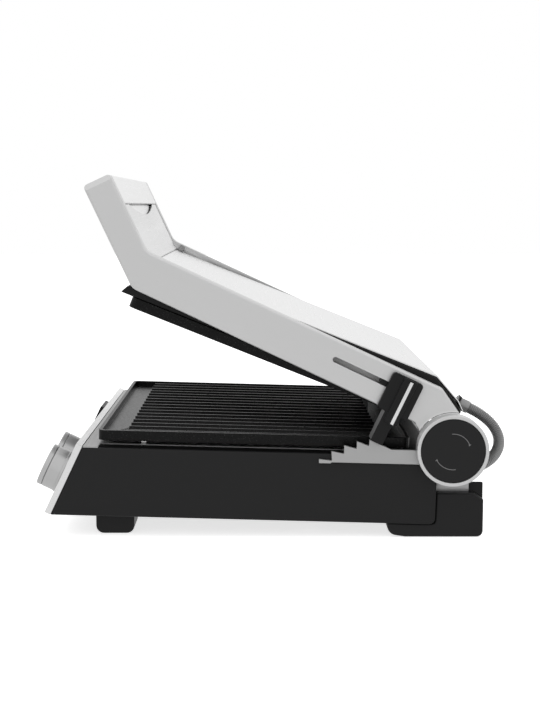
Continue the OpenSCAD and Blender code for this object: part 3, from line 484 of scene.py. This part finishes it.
@dataclass
class Workshop:
    """Builds each finish once and puts finishes on nodes and new pieces.

    Corners of a copied node closer than merge become one, and faces that meet at less than
    flat_angle become one. An edge lies in a flat where it is within flat_slack of it. The shelf
    holds the materials that are built, by name.
    """

    finishes: Finishes
    merge: float = 0.002
    flat_angle: float = 0.6
    flat_slack: float = 0.02
    shelf: dict[str, bpy.types.Material] = field(default_factory=dict)

    def material(self, finish: Finish) -> bpy.types.Material:
        """The material of a finish, built when it is first asked for.

        Args:
            finish: The finish.

        Returns:
            Its material.
        """
        if finish.name not in self.shelf:
            self.shelf[finish.name] = finish.build()
        return self.shelf[finish.name]

    def paint(self, piece: bpy.types.Object, finish: Finish) -> None:
        """Give a piece one material."""
        piece.data.materials.clear()
        piece.data.materials.append(self.material(finish))

    def paint_nodes(self, names: Iterable[str], finish: Finish) -> None:
        """Give each of the named CAD nodes one material.

        Args:
            names: Names of the nodes.
            finish: The finish that they get.
        """
        for name in names:
            self.paint(frame["nodes"][name], finish)
            LOG.info("node %s: %s", name, finish.name)

    def add(self, name: str, mesh: bmesh.types.BMesh, finish: Finish, slot: Slot,
            smooth: float = 35.0) -> bpy.types.Object:
        """Turn a bmesh into a named object with smooth shading and a finish.

        Args:
            name: Name of the piece.
            mesh: The finished bmesh, which is freed.
            finish: Its finish.
            slot: The record's slot that the finish belongs to; not used.
            smooth: Edges sharper than this many degrees stay sharp.

        Returns:
            The new object, linked to the scene.
        """
        data = bpy.data.meshes.new(name)
        for face in mesh.faces:
            face.smooth = True
        mesh.to_mesh(data)
        mesh.free()
        data.set_sharp_from_angle(angle=math.radians(smooth))
        piece = bpy.data.objects.new(name, data)
        bpy.context.scene.collection.objects.link(piece)
        self.paint(piece, finish)
        LOG.info("piece %s: %s", name, finish.name)
        return piece

    def block(self, name: str, body: str, finish: Finish, slot: Slot, box: Box, sign: int = 1,
              tilt: float = 0.0) -> None:
        """Box with rounded edges, turned about the hinge.

        Args:
            name: Name of the piece.
            body: Body that the piece rides on.
            finish: Its finish.
            slot: The record's slot that the finish belongs to.
            box: Extent and rounding of the box.
            sign: 1 on the right, -1 mirrored to the left.
            tilt: Turn about the hinge's axis in degrees.
        """
        low, high = box.corners(sign)
        mesh = bmesh.new()
        verts = bmesh.ops.create_cube(mesh, size=1.0)["verts"]
        place = Matrix.Translation((high + low) / 2) @ Matrix.Diagonal((*(high - low), 1))
        bmesh.ops.transform(mesh, verts=verts, matrix=place)
        bmesh.ops.bevel(mesh, geom=mesh.edges[:], offset=box.round, segments=2, profile=0.5,
                        affect="EDGES", material=-1)
        turn = Matrix.Translation(HINGE) @ Matrix.Rotation(math.radians(tilt), 4, "X")
        bmesh.ops.transform(mesh, verts=mesh.verts, matrix=Matrix.Scale(MM, 4) @ turn)
        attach(self.add(name, mesh, finish, slot), body)

    def soften(self, node: str, body: str, finish: Finish, slot: Slot,
               rounding: Rounding) -> bpy.types.Object:
        """Copy a CAD node with its sharp edges rounded, and let the copy stand for it.

        Args:
            node: CAD node to copy.
            body: Body that the copy rides on.
            finish: Finish of the copy.
            slot: The record's slot of the node.
            rounding: How its edges are rounded.

        Returns:
            The new piece.
        """
        mesh = bmesh.new()
        mesh.from_mesh(frame["nodes"][node].data)
        bmesh.ops.remove_doubles(mesh, verts=mesh.verts, dist=self.merge * MM)
        bmesh.ops.dissolve_limit(mesh, angle_limit=math.radians(self.flat_angle),
                                 verts=mesh.verts, edges=mesh.edges, use_dissolve_boundaries=False)
        if rounding.flats:
            self._mark(mesh, rounding)
        piece = self.add(f"soft_{node}", mesh, finish, slot, smooth=rounding.smooth)
        edge = piece.modifiers.new("rounding", "BEVEL")
        edge.width = rounding.width * MM
        edge.segments = rounding.segments
        edge.limit_method = "WEIGHT" if rounding.flats else "ANGLE"
        edge.angle_limit = math.radians(rounding.angle)
        edge.use_clamp_overlap = False
        edge.harden_normals = True
        edge.miter_outer = "MITER_ARC"
        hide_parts(node)
        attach(piece, body)
        return piece

    def _mark(self, mesh: bmesh.types.BMesh, rounding: Rounding) -> None:
        """Give the sharp edges that lie in the chosen flats their share of the rounding.

        Args:
            mesh: The bmesh.
            rounding: How its edges are rounded.
        """
        layer = mesh.edges.layers.float.new("bevel_weight_edge")
        for edge in mesh.edges:
            if edge.is_manifold and edge.calc_face_angle(0.0) > math.radians(rounding.angle):
                places = [abs(v.co.x) / MM for v in edge.verts]
                if any(max(abs(x - flat) for x in places) < self.flat_slack
                       for flat in rounding.flats):
                    edge[layer] = rounding.share((edge.verts[0].co + edge.verts[1].co) / 2)


@dataclass(frozen=True)
class Lamp:
    """Square soft box: its place and side in metres, and its power in watts."""

    name: str
    place: Triple
    size: float
    watts: float


@dataclass
class Studio:
    """Floor, lamps, world and camera, in metres, with the lens and its sensor in millimetres.

    The values of mirror_glow are the strength of the floor as metal sees it, at the two distances
    of mirror_distance from the middle.
    """

    camera_x: float = 1.215
    camera_back: float = 0.15464
    camera_z: float = 0.2731
    pitch: float = 6.78
    lens: float = 65.2
    sensor: float = 36.0
    shift_x: float = 0.0111
    aim_z: float = 0.12
    lamps: tuple[Lamp, ...] = (Lamp("key_lamp", (0.9, -0.9, 1.5), 2.5, 9.0),
                               Lamp("top_lamp", (0.1, 0.1, 1.9), 2.5, 7.0),
                               Lamp("rear_lamp", (0.3, 1.3, 0.9), 2.0, 3.5))
    world_light: float = 0.75
    floor_size: float = 6.0
    floor_tone: float = 0.85
    floor_roughness: float = 0.9
    floor_glow: float = 0.72
    mirror_distance: Pair = (0.8, 2.8)
    mirror_glow: Pair = (0.92, 0.5)

    def build(self) -> None:
        """Make the whole studio."""
        self._camera()
        self._floor()
        self._world()
        for lamp in self.lamps:
            self._lamp(lamp)

    def _camera(self) -> None:
        """Camera at the photograph's angle."""
        data = bpy.data.cameras.new("camera")
        data.lens = self.lens
        data.sensor_width = self.sensor
        data.shift_x = self.shift_x
        camera = bpy.data.objects.new("camera", data)
        camera.location = (self.camera_x, HINGE[1] * MM - self.camera_back, self.camera_z)
        camera.rotation_euler = (math.radians(90 - self.pitch), 0, math.radians(90))
        bpy.context.scene.collection.objects.link(camera)
        bpy.context.scene.camera = camera

    def _floor(self) -> None:
        """Pale floor that keeps the shadow, and that metal sees fade with distance."""
        mesh = bmesh.new()
        bmesh.ops.create_grid(mesh, x_segments=1, y_segments=1, size=self.floor_size)
        data = bpy.data.meshes.new("studio_floor")
        mesh.to_mesh(data)
        mesh.free()
        floor = bpy.data.objects.new("studio_floor", data)
        bpy.context.scene.collection.objects.link(floor)
        graph = ShaderGraph("floor_paper")
        graph.shader.inputs["Base Color"].default_value = (*grey(self.floor_tone), 1)
        graph.shader.inputs["Roughness"].default_value = self.floor_roughness
        glow = graph.nodes.new("ShaderNodeEmission")
        glow.inputs["Color"].default_value = (1, 1, 1, 1)
        glow.inputs["Strength"].default_value = self.floor_glow
        both = graph.nodes.new("ShaderNodeAddShader")
        graph.links.new(graph.shader.outputs["BSDF"], both.inputs[0])
        graph.links.new(glow.outputs["Emission"], both.inputs[1])
        far = graph.nodes.new("ShaderNodeVectorMath")
        far.operation = "LENGTH"
        graph.join(graph.place(), "Vector", far, "Vector")
        mirrored = graph.nodes.new("ShaderNodeEmission")
        fade = graph.ramp(far, "Value", self.mirror_distance, self.mirror_glow)
        graph.join(fade, "Result", mirrored, "Strength")
        rays = graph.nodes.new("ShaderNodeLightPath").outputs
        shown = self._choose(graph, rays["Is Glossy Ray"], graph.shader.outputs["BSDF"],
                             mirrored.outputs["Emission"])
        shown = self._choose(graph, rays["Is Camera Ray"], shown, both.outputs["Shader"])
        graph.links.new(shown, graph.output.inputs["Surface"])
        data.materials.append(graph.material)
        LOG.info("floor of %s m", 2 * self.floor_size)

    @staticmethod
    def _choose(graph: ShaderGraph, factor: bpy.types.NodeSocket, off: bpy.types.NodeSocket,
                on: bpy.types.NodeSocket) -> bpy.types.NodeSocket:
        """Pick one of two shaders by a factor of 0 or 1.

        Args:
            graph: Graph that the choice is added to.
            factor: The factor.
            off: Shader at 0.
            on: Shader at 1.

        Returns:
            Output that gives the chosen shader.
        """
        pick = graph.nodes.new("ShaderNodeMixShader")
        for index, socket in enumerate((factor, off, on)):
            graph.links.new(socket, pick.inputs[index])
        return pick.outputs["Shader"]

    def _world(self) -> None:
        """White to the camera, to gloss and through glass, and a soft light on the object."""
        world = bpy.data.worlds.new("studio_world")
        bpy.context.scene.world = world
        world.use_nodes = True
        nodes, links = world.node_tree.nodes, world.node_tree.links
        nodes.clear()
        out = nodes.new("ShaderNodeOutputWorld")
        pick = nodes.new("ShaderNodeMixShader")
        for index, strength in ((1, self.world_light), (2, 1.0)):
            light = nodes.new("ShaderNodeBackground")
            light.inputs["Color"].default_value = (1, 1, 1, 1)
            light.inputs["Strength"].default_value = strength
            links.new(light.outputs[0], pick.inputs[index])
        rays = nodes.new("ShaderNodeLightPath").outputs
        seen = rays["Is Camera Ray"]
        for ray in ("Is Glossy Ray", "Is Transmission Ray"):
            either = nodes.new("ShaderNodeMath")
            either.operation = "MAXIMUM"
            links.new(seen, either.inputs[0])
            links.new(rays[ray], either.inputs[1])
            seen = either.outputs[0]
        links.new(seen, pick.inputs[0])
        links.new(pick.outputs[0], out.inputs["Surface"])

    def _lamp(self, lamp: Lamp) -> None:
        """Put up one soft box that points at the grill.

        Args:
            lamp: Its name, place, side and power.
        """
        data = bpy.data.lights.new(lamp.name, "AREA")
        data.size = lamp.size
        data.energy = lamp.watts
        box = bpy.data.objects.new(lamp.name, data)
        box.location = lamp.place
        box.visible_glossy = False
        aim = Vector((0, 0, self.aim_z)) - Vector(lamp.place)
        box.rotation_euler = aim.to_track_quat("-Z", "Y").to_euler()
        bpy.context.scene.collection.objects.link(box)


@dataclass
class BaseUnit:
    """Housing, feet, deck, tray and inlets of the base, and strips of painted shade beside the
    lower plate.
    """

    shop: Workshop
    shell_round: float = 1.2
    rear_foot_round: float = 2.0
    front_foot_round: float = 1.0
    tray_round: float = 0.8
    fitting_round: float = 0.5
    # Thin near-black strip under each side of the lower plate's edge: painted shade for the dark
    # gap there, not a real part.
    channel_shade_tilt: float = -1.5
    channel_shade_strip: Box = Box((149.2, 161.6), (-290.0, -38.0), (-7.2, -6.75), 0.15)
    fin: Box = Box((152.1, 154.7), (16.6, 28.4), (-56.4, -30.0), 1.25)
    hub_foot: Box = Box((152.1, 154.7), (-12.0, 16.5), (-38.4, -31.1), 0.2)
    cheek: Box = Box((152.9, 154.6), (-52.0, 8.0), (-17.0, 19.0), 0.6)

    def build(self) -> None:
        """Dress the base."""
        shop, f = self.shop, self.shop.finishes
        shell, fitting = Rounding(self.shell_round), Rounding(self.fitting_round)
        shop.soften("base_shell", "base", f.shell, Slot.CHARCOAL, shell)
        for side, _ in SIDES:
            shop.soften(f"rear_foot_{side}", "base", f.shell, Slot.CHARCOAL,
                        Rounding(self.rear_foot_round))
        shop.soften("front_feet", "base", f.shell, Slot.CHARCOAL, Rounding(self.front_foot_round))
        shop.soften("drip_tray", "tray", f.shell, Slot.CHARCOAL, Rounding(self.tray_round))
        shop.soften("height_rack_right", "base", f.rack, Slot.RACK, fitting)
        shop.soften("hinge_bracket_left", "base", f.rack, Slot.RACK, fitting)
        shop.soften("cord_inlet", "base", f.black, Slot.BLACK, fitting)
        shop.soften("conduit_gland", "base", f.rack, Slot.RACK, fitting)
        shop.paint_nodes(["bottom_cover"], f.black)
        shop.paint_nodes(["foot_pads"], f.rubber)
        shop.paint_nodes(["hinge_pins", "base_screws", "lower_plate_clips"], f.bright)
        shop.paint_nodes(["top_deck"], f.deck)
        for side, sign in SIDES:
            # Painted shade: a near-black strip in the gap beside each side of the lower plate.
            shop.block(f"channel_{side}", "base", f.channel_shade_paint, Slot.BLACK, self.channel_shade_strip, sign,
                       self.channel_shade_tilt)
            shop.block(f"rear_fin_{side}", "base", f.black, Slot.BLACK, self.fin, sign)
            shop.block(f"hub_foot_{side}", "base", f.rack, Slot.RACK, self.hub_foot, sign)
        shop.block("hinge_cheek_left", "base", f.black, Slot.BLACK, self.cheek, -1)


@dataclass
class ControlPanel:
    """Panel, display and knobs."""

    shop: Workshop
    panel_round: float = 0.5
    bezel_round: float = 0.8
    window_round: float = 0.4
    knob_round: float = 0.35

    def build(self) -> None:
        """Dress the panel and what it carries."""
        shop, f = self.shop, self.shop.finishes
        shop.soften("control_panel", "base", f.panel, Slot.STEEL, Rounding(self.panel_round))
        shop.soften("display_bezel", "base", f.black, Slot.BLACK, Rounding(self.bezel_round))
        shop.soften("display_window", "base", f.window, Slot.WINDOW, Rounding(self.window_round))
        for knob in ("knob_right", "knob_middle"):
            shop.soften(knob, knob, f.knob, Slot.KNOB, Rounding(self.knob_round))
        shop.paint_nodes(["control_board"], f.board)
        shop.paint_nodes(["rotary_controls"], f.heater)


@dataclass
class CookingPlates:
    """Both plates with what heats them."""

    shop: Workshop
    rounding: Rounding = Rounding(0.22, segments=2, smooth=2.0)

    def build(self) -> None:
        """Dress the plates, heaters, reflectors and thermostats."""
        shop, f = self.shop, self.shop.finishes
        for plate, body in (("lower_plate", "base"), ("upper_plate", "head")):
            shop.soften(plate, body, f.plate, Slot.PLATE, self.rounding)
        shop.paint_nodes(["lower_heater", "upper_heater"], f.heater)
        shop.paint_nodes(["lower_reflector", "upper_reflector"], f.deck)
        shop.paint_nodes(["lower_thermostat", "upper_thermostat"], f.ceramic)
        shop.paint_nodes(["upper_plate_clips"], f.bright)


@dataclass
class LidFrame:
    """Arms, handle, conduit bracket and floating head, with a pale backing in the slot whose
    colour paints light into the slot's shade.
    """

    shop: Workshop
    arm_round: float = 2.0
    arm_segments: int = 4
    arm_angle: float = 40.0
    arm_flats: Triple = (155.0, 168.0, 178.0)
    side_slack: float = 0.1
    slot_share: float = 0.12
    ring_share: float = 0.3
    inner_share: float = 0.15
    neck_radius: float = 36.0
    slot_reach: Pair = (43.0, 122.0)
    slot_height: float = 25.26
    slot_half: float = 3.5
    bar_round: float = 1.0
    housing_round: float = 0.8
    back_round: Rounding = Rounding(0.3, segments=2)
    front_round: Rounding = Rounding(0.5, segments=2)
    cover_round: Rounding = Rounding(0.4, segments=2)
    # Backing in the right arm's slot, coloured pale as painted light for the slot's shaded inside.
    painted_light_backing: Box = Box((152.9, 153.4), (-122.5, -42.0), (20.5, 30.0), 0.1)
    painted_light_backing_ends: tuple[Box, ...] = (Box((153.0, 155.2), (-122.6, -121.6), (20.5, 30.0), 0.1),
                                    Box((153.0, 155.2), (-43.0, -42.0), (20.5, 30.0), 0.1))

    def build(self) -> None:
        """Dress the lid."""
        shop, f = self.shop, self.shop.finishes
        arm = Rounding(self.arm_round, segments=self.arm_segments, angle=self.arm_angle,
                       smooth=self.arm_angle, flats=self.arm_flats, share=self._share)
        for side, _ in SIDES:
            shop.soften(f"arm_{side}", "lid", f.cast, Slot.CAST, arm)
        shop.soften("handle_bar", "lid", f.cover, Slot.STEEL, Rounding(self.bar_round))
        shop.soften("handle_back", "lid", f.sheet, Slot.STEEL, self.back_round)
        shop.soften("handle_front", "lid", f.cover, Slot.STEEL, self.front_round)
        shop.soften("lid_cover", "head", f.cover, Slot.STEEL, self.cover_round)
        shop.soften("head_housing", "head", f.black, Slot.BLACK, Rounding(self.housing_round))
        shop.soften("conduit_bracket", "lid", f.black, Slot.RACK, self.back_round)
        # Painted light: the pale backing brightens the shaded inside of the slot.
        shop.block("painted_light_slot_backing", "lid", f.painted_light_backing, Slot.CAST, self.painted_light_backing, tilt=-REST_ANGLE)
        for index, end in enumerate(self.painted_light_backing_ends):
            shop.block(f"painted_light_slot_backing_end_{index}", "lid", f.painted_light_backing, Slot.CAST, end,
                       tilt=-REST_ANGLE)
        shop.paint_nodes(["head_stops"], f.stop)
        shop.paint_nodes(["float_pins"], f.bright)

    def _share(self, middle: Vector) -> float:
        """Share of the rounding at an arm's edge: little at the slot, the inner side and the hub.

        Args:
            middle: Middle of the edge in metres.

        Returns:
            A factor of 0 to 1, which is 0 at the hub's neck.
        """
        inner, _, ring = self.arm_flats
        x, y, z = abs(middle.x) / MM, middle.y / MM - HINGE[1], middle.z / MM - HINGE[2]
        if x > ring - self.side_slack:
            return self.ring_share
        if x < inner + self.side_slack:
            return self.inner_share
        if math.hypot(y, z) < self.neck_radius:
            return 0.0
        turn = math.radians(REST_ANGLE)
        reach = -y * math.cos(turn) + z * math.sin(turn)
        height = y * math.sin(turn) + z * math.cos(turn)
        first, last = self.slot_reach
        in_slot = first < reach < last and abs(height - self.slot_height) < self.slot_half
        return self.slot_share if in_slot else 1.0


@dataclass(frozen=True)
class Arc:
    """Curved arrow seen from the right: its radius, and the angles of its start and its point."""

    radius: float
    start: float
    end: float


@dataclass
class HingeButtons:
    """Round release buttons in the hubs, with curved arrows and their springs."""

    shop: Workshop
    button_round: float = 0.5
    face_x: float = 177.4
    arcs: tuple[Arc, ...] = (Arc(14.1, 95.0, 21.0), Arc(15.2, 278.0, 209.0))
    steps: int = 24
    line: float = 0.55
    lift: float = 0.06
    point: float = 1.5
    point_width: float = 0.62
    spring_round: Rounding = Rounding(0.02, segments=1, angle=80.0, smooth=80.0)
    spring_foot: float = 172.15
    spring_keep: float = 0.38

    def build(self) -> None:
        """Dress the buttons and their springs, and print the arrows on them."""
        shop, f = self.shop, self.shop.finishes
        for side, sign in SIDES:
            shop.soften(f"release_button_{side}", f"button_{side}", f.button, Slot.CHARCOAL,
                        Rounding(self.button_round))
            for index, arc in enumerate(self.arcs):
                piece = shop.add(f"arrow_{side}_{index}", self._arrow(arc, sign), f.mark,
                                 Slot.CHARCOAL)
                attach(piece, f"button_{side}")
            spring = shop.soften(f"button_spring_{side}", "lid", f.bright, Slot.BRIGHT,
                                 self.spring_round)
            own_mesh(spring)

    def _arrow(self, arc: Arc, sign: int) -> bmesh.types.BMesh:
        """One curved arrow on a button's face.

        Args:
            arc: Radius and angles of the arrow.
            sign: 1 on the right, -1 mirrored to the left.

        Returns:
            The arrow's bmesh in metres.
        """
        mesh = bmesh.new()
        axis, centre = Vector((1, 0, 0)), Vector((0, 0, 0))
        half = self.line / 2
        ends = [mesh.verts.new((0, r, 0)) for r in (arc.radius - half, arc.radius + half)]
        edge = mesh.edges.new(ends)
        bmesh.ops.rotate(mesh, verts=ends, cent=centre,
                         matrix=Matrix.Rotation(math.radians(arc.start), 3, axis))
        bmesh.ops.spin(mesh, geom=[*ends, edge], cent=centre, axis=axis, dvec=(0, 0, 0),
                       angle=math.radians(arc.end - arc.start), steps=self.steps,
                       use_duplicate=False)
        head = bmesh.ops.create_circle(mesh, cap_ends=True, segments=3,
                                       radius=self.point)["verts"]
        bmesh.ops.scale(mesh, verts=head, vec=(self.point_width, 1.0, 1.0))
        quarter = math.radians(90)
        bmesh.ops.transform(mesh, verts=head, matrix=(
            Matrix.Rotation(math.radians(arc.end), 4, "X")
            @ Matrix.Translation((0, arc.radius, 0)) @ Matrix.Rotation(-quarter, 4, "X")
            @ Matrix.Rotation(quarter, 4, "Y") @ Matrix.Rotation(quarter, 4, "Z")))
        bmesh.ops.solidify(mesh, geom=mesh.faces[:], thickness=self.lift)
        bmesh.ops.recalc_face_normals(mesh, faces=mesh.faces)
        shift = Matrix.Diagonal((sign, 1, 1, 1)) @ Matrix.Translation(
            (self.face_x + self.lift / 2, HINGE[1], HINGE[2]))
        bmesh.ops.transform(mesh, matrix=Matrix.Scale(MM, 4) @ shift, verts=mesh.verts)
        if sign < 0:
            bmesh.ops.reverse_faces(mesh, faces=mesh.faces)
        return mesh


@dataclass
class HeightClip:
    """Sliding clip with its foot, slider and stripe."""

    shop: Workshop
    clip_round: Rounding = Rounding(0.7)
    slider_round: Rounding = Rounding(0.3, segments=2)
    stripe_round: Rounding = Rounding(0.15, segments=2)

    def build(self) -> None:
        """Dress the clip."""
        shop, f = self.shop, self.shop.finishes
        shop.soften("height_clip", "clip", f.black, Slot.BLACK, self.clip_round)
        shop.soften("clip_slider", "clip", f.black, Slot.BLACK, self.slider_round)
        shop.soften("clip_stripe", "clip", f.bright, Slot.BRIGHT, self.stripe_round)


@dataclass
class FlexibleConduit:
    """Ribbed metal conduit between the base's gland and the collar on the right arm.

    The collar's place is given as x, reach along the arm and height above it, and the gland's as
    x, y and z. Between their straight ends the course is one curve, drawn out by the two pulls.
    """

    shop: Workshop
    collar: Triple = (105.0, -0.5, 32.0)
    gland: Triple = (128.0, -4.2, -26.0)
    pull_lid: float = 47.3
    pull_base: float = 44.3
    straight: float = 10.0
    straight_steps: int = 12
    curve_steps: int = 160
    held: float = 4.0
    radius: float = 4.97
    groove: float = 0.8
    rib: float = 1.6
    rib_profile: tuple[float, ...] = (1.0, 0.55, 0.0, 0.55)
    sides: int = 24
    smooth: float = 80.0
    sleeve: Pair = (-3.0, 9.0)
    sleeve_step: float = 0.25
    sleeve_radius: float = 5.5
    sleeve_groove: float = 0.35

    def build(self) -> None:
        """Sweep the conduit and its collar."""
        shop, finish = self.shop, self.shop.finishes.conduit
        start, out, end, back = self._ends()
        piece = shop.add("ribbed_conduit", self._tube(self._route(), self.radius, self.groove),
                         finish, Slot.CONDUIT, self.smooth)
        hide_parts("conduit")
        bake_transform(piece)
        first, last = self.sleeve
        steps = int((last - first) / self.sleeve_step)
        along = [start + out * (first + self.sleeve_step * k) for k in range(steps + 1)]
        sleeve = shop.add("ribbed_collar", self._tube(along, self.sleeve_radius,
                                                      self.sleeve_groove),
                          finish, Slot.CONDUIT, self.smooth)
        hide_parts("conduit_collar")
        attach(sleeve, "lid")

    def _ends(self) -> tuple[Vector, Vector, Vector, Vector]:
        """Both ends of the conduit at rest.

        Returns:
            The start on the lid and the way out of it, the end at the base and the way out of it.
        """
        turn = math.radians(REST_ANGLE)
        x, reach, height = self.collar
        start = Vector((x, -reach * math.cos(turn) + height * math.sin(turn),
                        reach * math.sin(turn) + height * math.cos(turn)))
        out = Vector((0, math.cos(turn), -math.sin(turn)))
        return start, out, Vector(self.gland), Vector((0, 1, 0))

    def _route(self) -> list[Vector]:
        """Points along the conduit at an even spacing of four to a rib.

        Returns:
            The points.
        """
        start, out, end, back = self._ends()
        first, last = start + out * self.straight, end + back * self.straight
        n = self.straight_steps
        rough = [start.lerp(first, k / n) for k in range(n)]
        for k in range(self.curve_steps + 1):
            t = k / self.curve_steps
            s = 1 - t
            p = (first * s**3 + (first + out * self.pull_lid) * 3 * s * s * t
                 + (last + back * self.pull_base) * 3 * s * t * t + last * t**3)
            p.x = start.x + (end.x - start.x) * t * t * (3 - 2 * t)
            rough.append(p)
        rough += [last.lerp(end, k / n) for k in range(1, n + 1)]
        step = self.rib / len(self.rib_profile)
        points, carry = [rough[0]], 0.0
        for a, b in zip(rough, rough[1:]):
            length = (b - a).length
            at = step - carry
            while at <= length:
                points.append(a.lerp(b, at / length))
                at += step
            carry = length - (at - step)
        return points

    def _tube(self, points: list[Vector], radius: float, groove: float) -> bmesh.types.BMesh:
        """Sweep a ribbed tube with closed ends along a route.

        Args:
            points: The route, four points to a rib.
            radius: Radius over the ribs.
            groove: Depth of the grooves.

        Returns:
            The tube's bmesh in metres.
        """
        mesh = bmesh.new()
        ring = bmesh.ops.create_circle(mesh, cap_ends=False, segments=self.sides,
                                       radius=1.0)["verts"]
        edges = first = mesh.edges[:]
        pose = self._pose(points, 0, radius)
        bmesh.ops.transform(mesh, matrix=pose, verts=ring)
        profile = self.rib_profile
        for index in range(1, len(points)):
            grown = bmesh.ops.extrude_edge_only(mesh, edges=edges)["geom"]
            ring = [g for g in grown if isinstance(g, bmesh.types.BMVert)]
            edges = [g for g in grown if isinstance(g, bmesh.types.BMEdge)
                     and all(v in ring for v in g.verts)]
            size = radius - groove * (1 - profile[index % len(profile)])
            after = self._pose(points, index, size)
            bmesh.ops.transform(mesh, matrix=after @ pose.inverted(), verts=ring)
            pose = after
        for rim in (first, edges):
            bmesh.ops.contextual_create(mesh, geom=rim)
        bmesh.ops.recalc_face_normals(mesh, faces=mesh.faces)
        bmesh.ops.transform(mesh, matrix=Matrix.Scale(MM, 4) @ Matrix.Translation(HINGE),
                            verts=mesh.verts)
        return mesh

    @staticmethod
    def _pose(points: list[Vector], index: int, size: float) -> Matrix:
        """Matrix that puts a unit ring on the route.

        Args:
            points: The route.
            index: Point at which the ring lies.
            size: Radius of the ring.

        Returns:
            Place, turn and size of the ring.
        """
        before, after = points[max(index - 1, 0)], points[min(index + 1, len(points) - 1)]
        along = (after - before).normalized()
        side = along.cross(Vector((1, 0, 0))).normalized()
        up = side.cross(along)
        turn = Matrix((up, side, along)).transposed().to_4x4()
        return Matrix.Translation(points[index]) @ turn @ Matrix.Scale(size, 4)


def main() -> None:
    """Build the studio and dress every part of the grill."""
    logging.basicConfig(level=logging.INFO, format="%(name)s: %(message)s")
    bpy.context.scene.view_settings.view_transform = "Standard"
    Studio().build()
    shop = Workshop(Finishes())
    for unit in (BaseUnit(shop), ControlPanel(shop), CookingPlates(shop), LidFrame(shop),
                 HingeButtons(shop), HeightClip(shop), FlexibleConduit(shop)):
        unit.build()


if __name__ == "__main__":
    main()
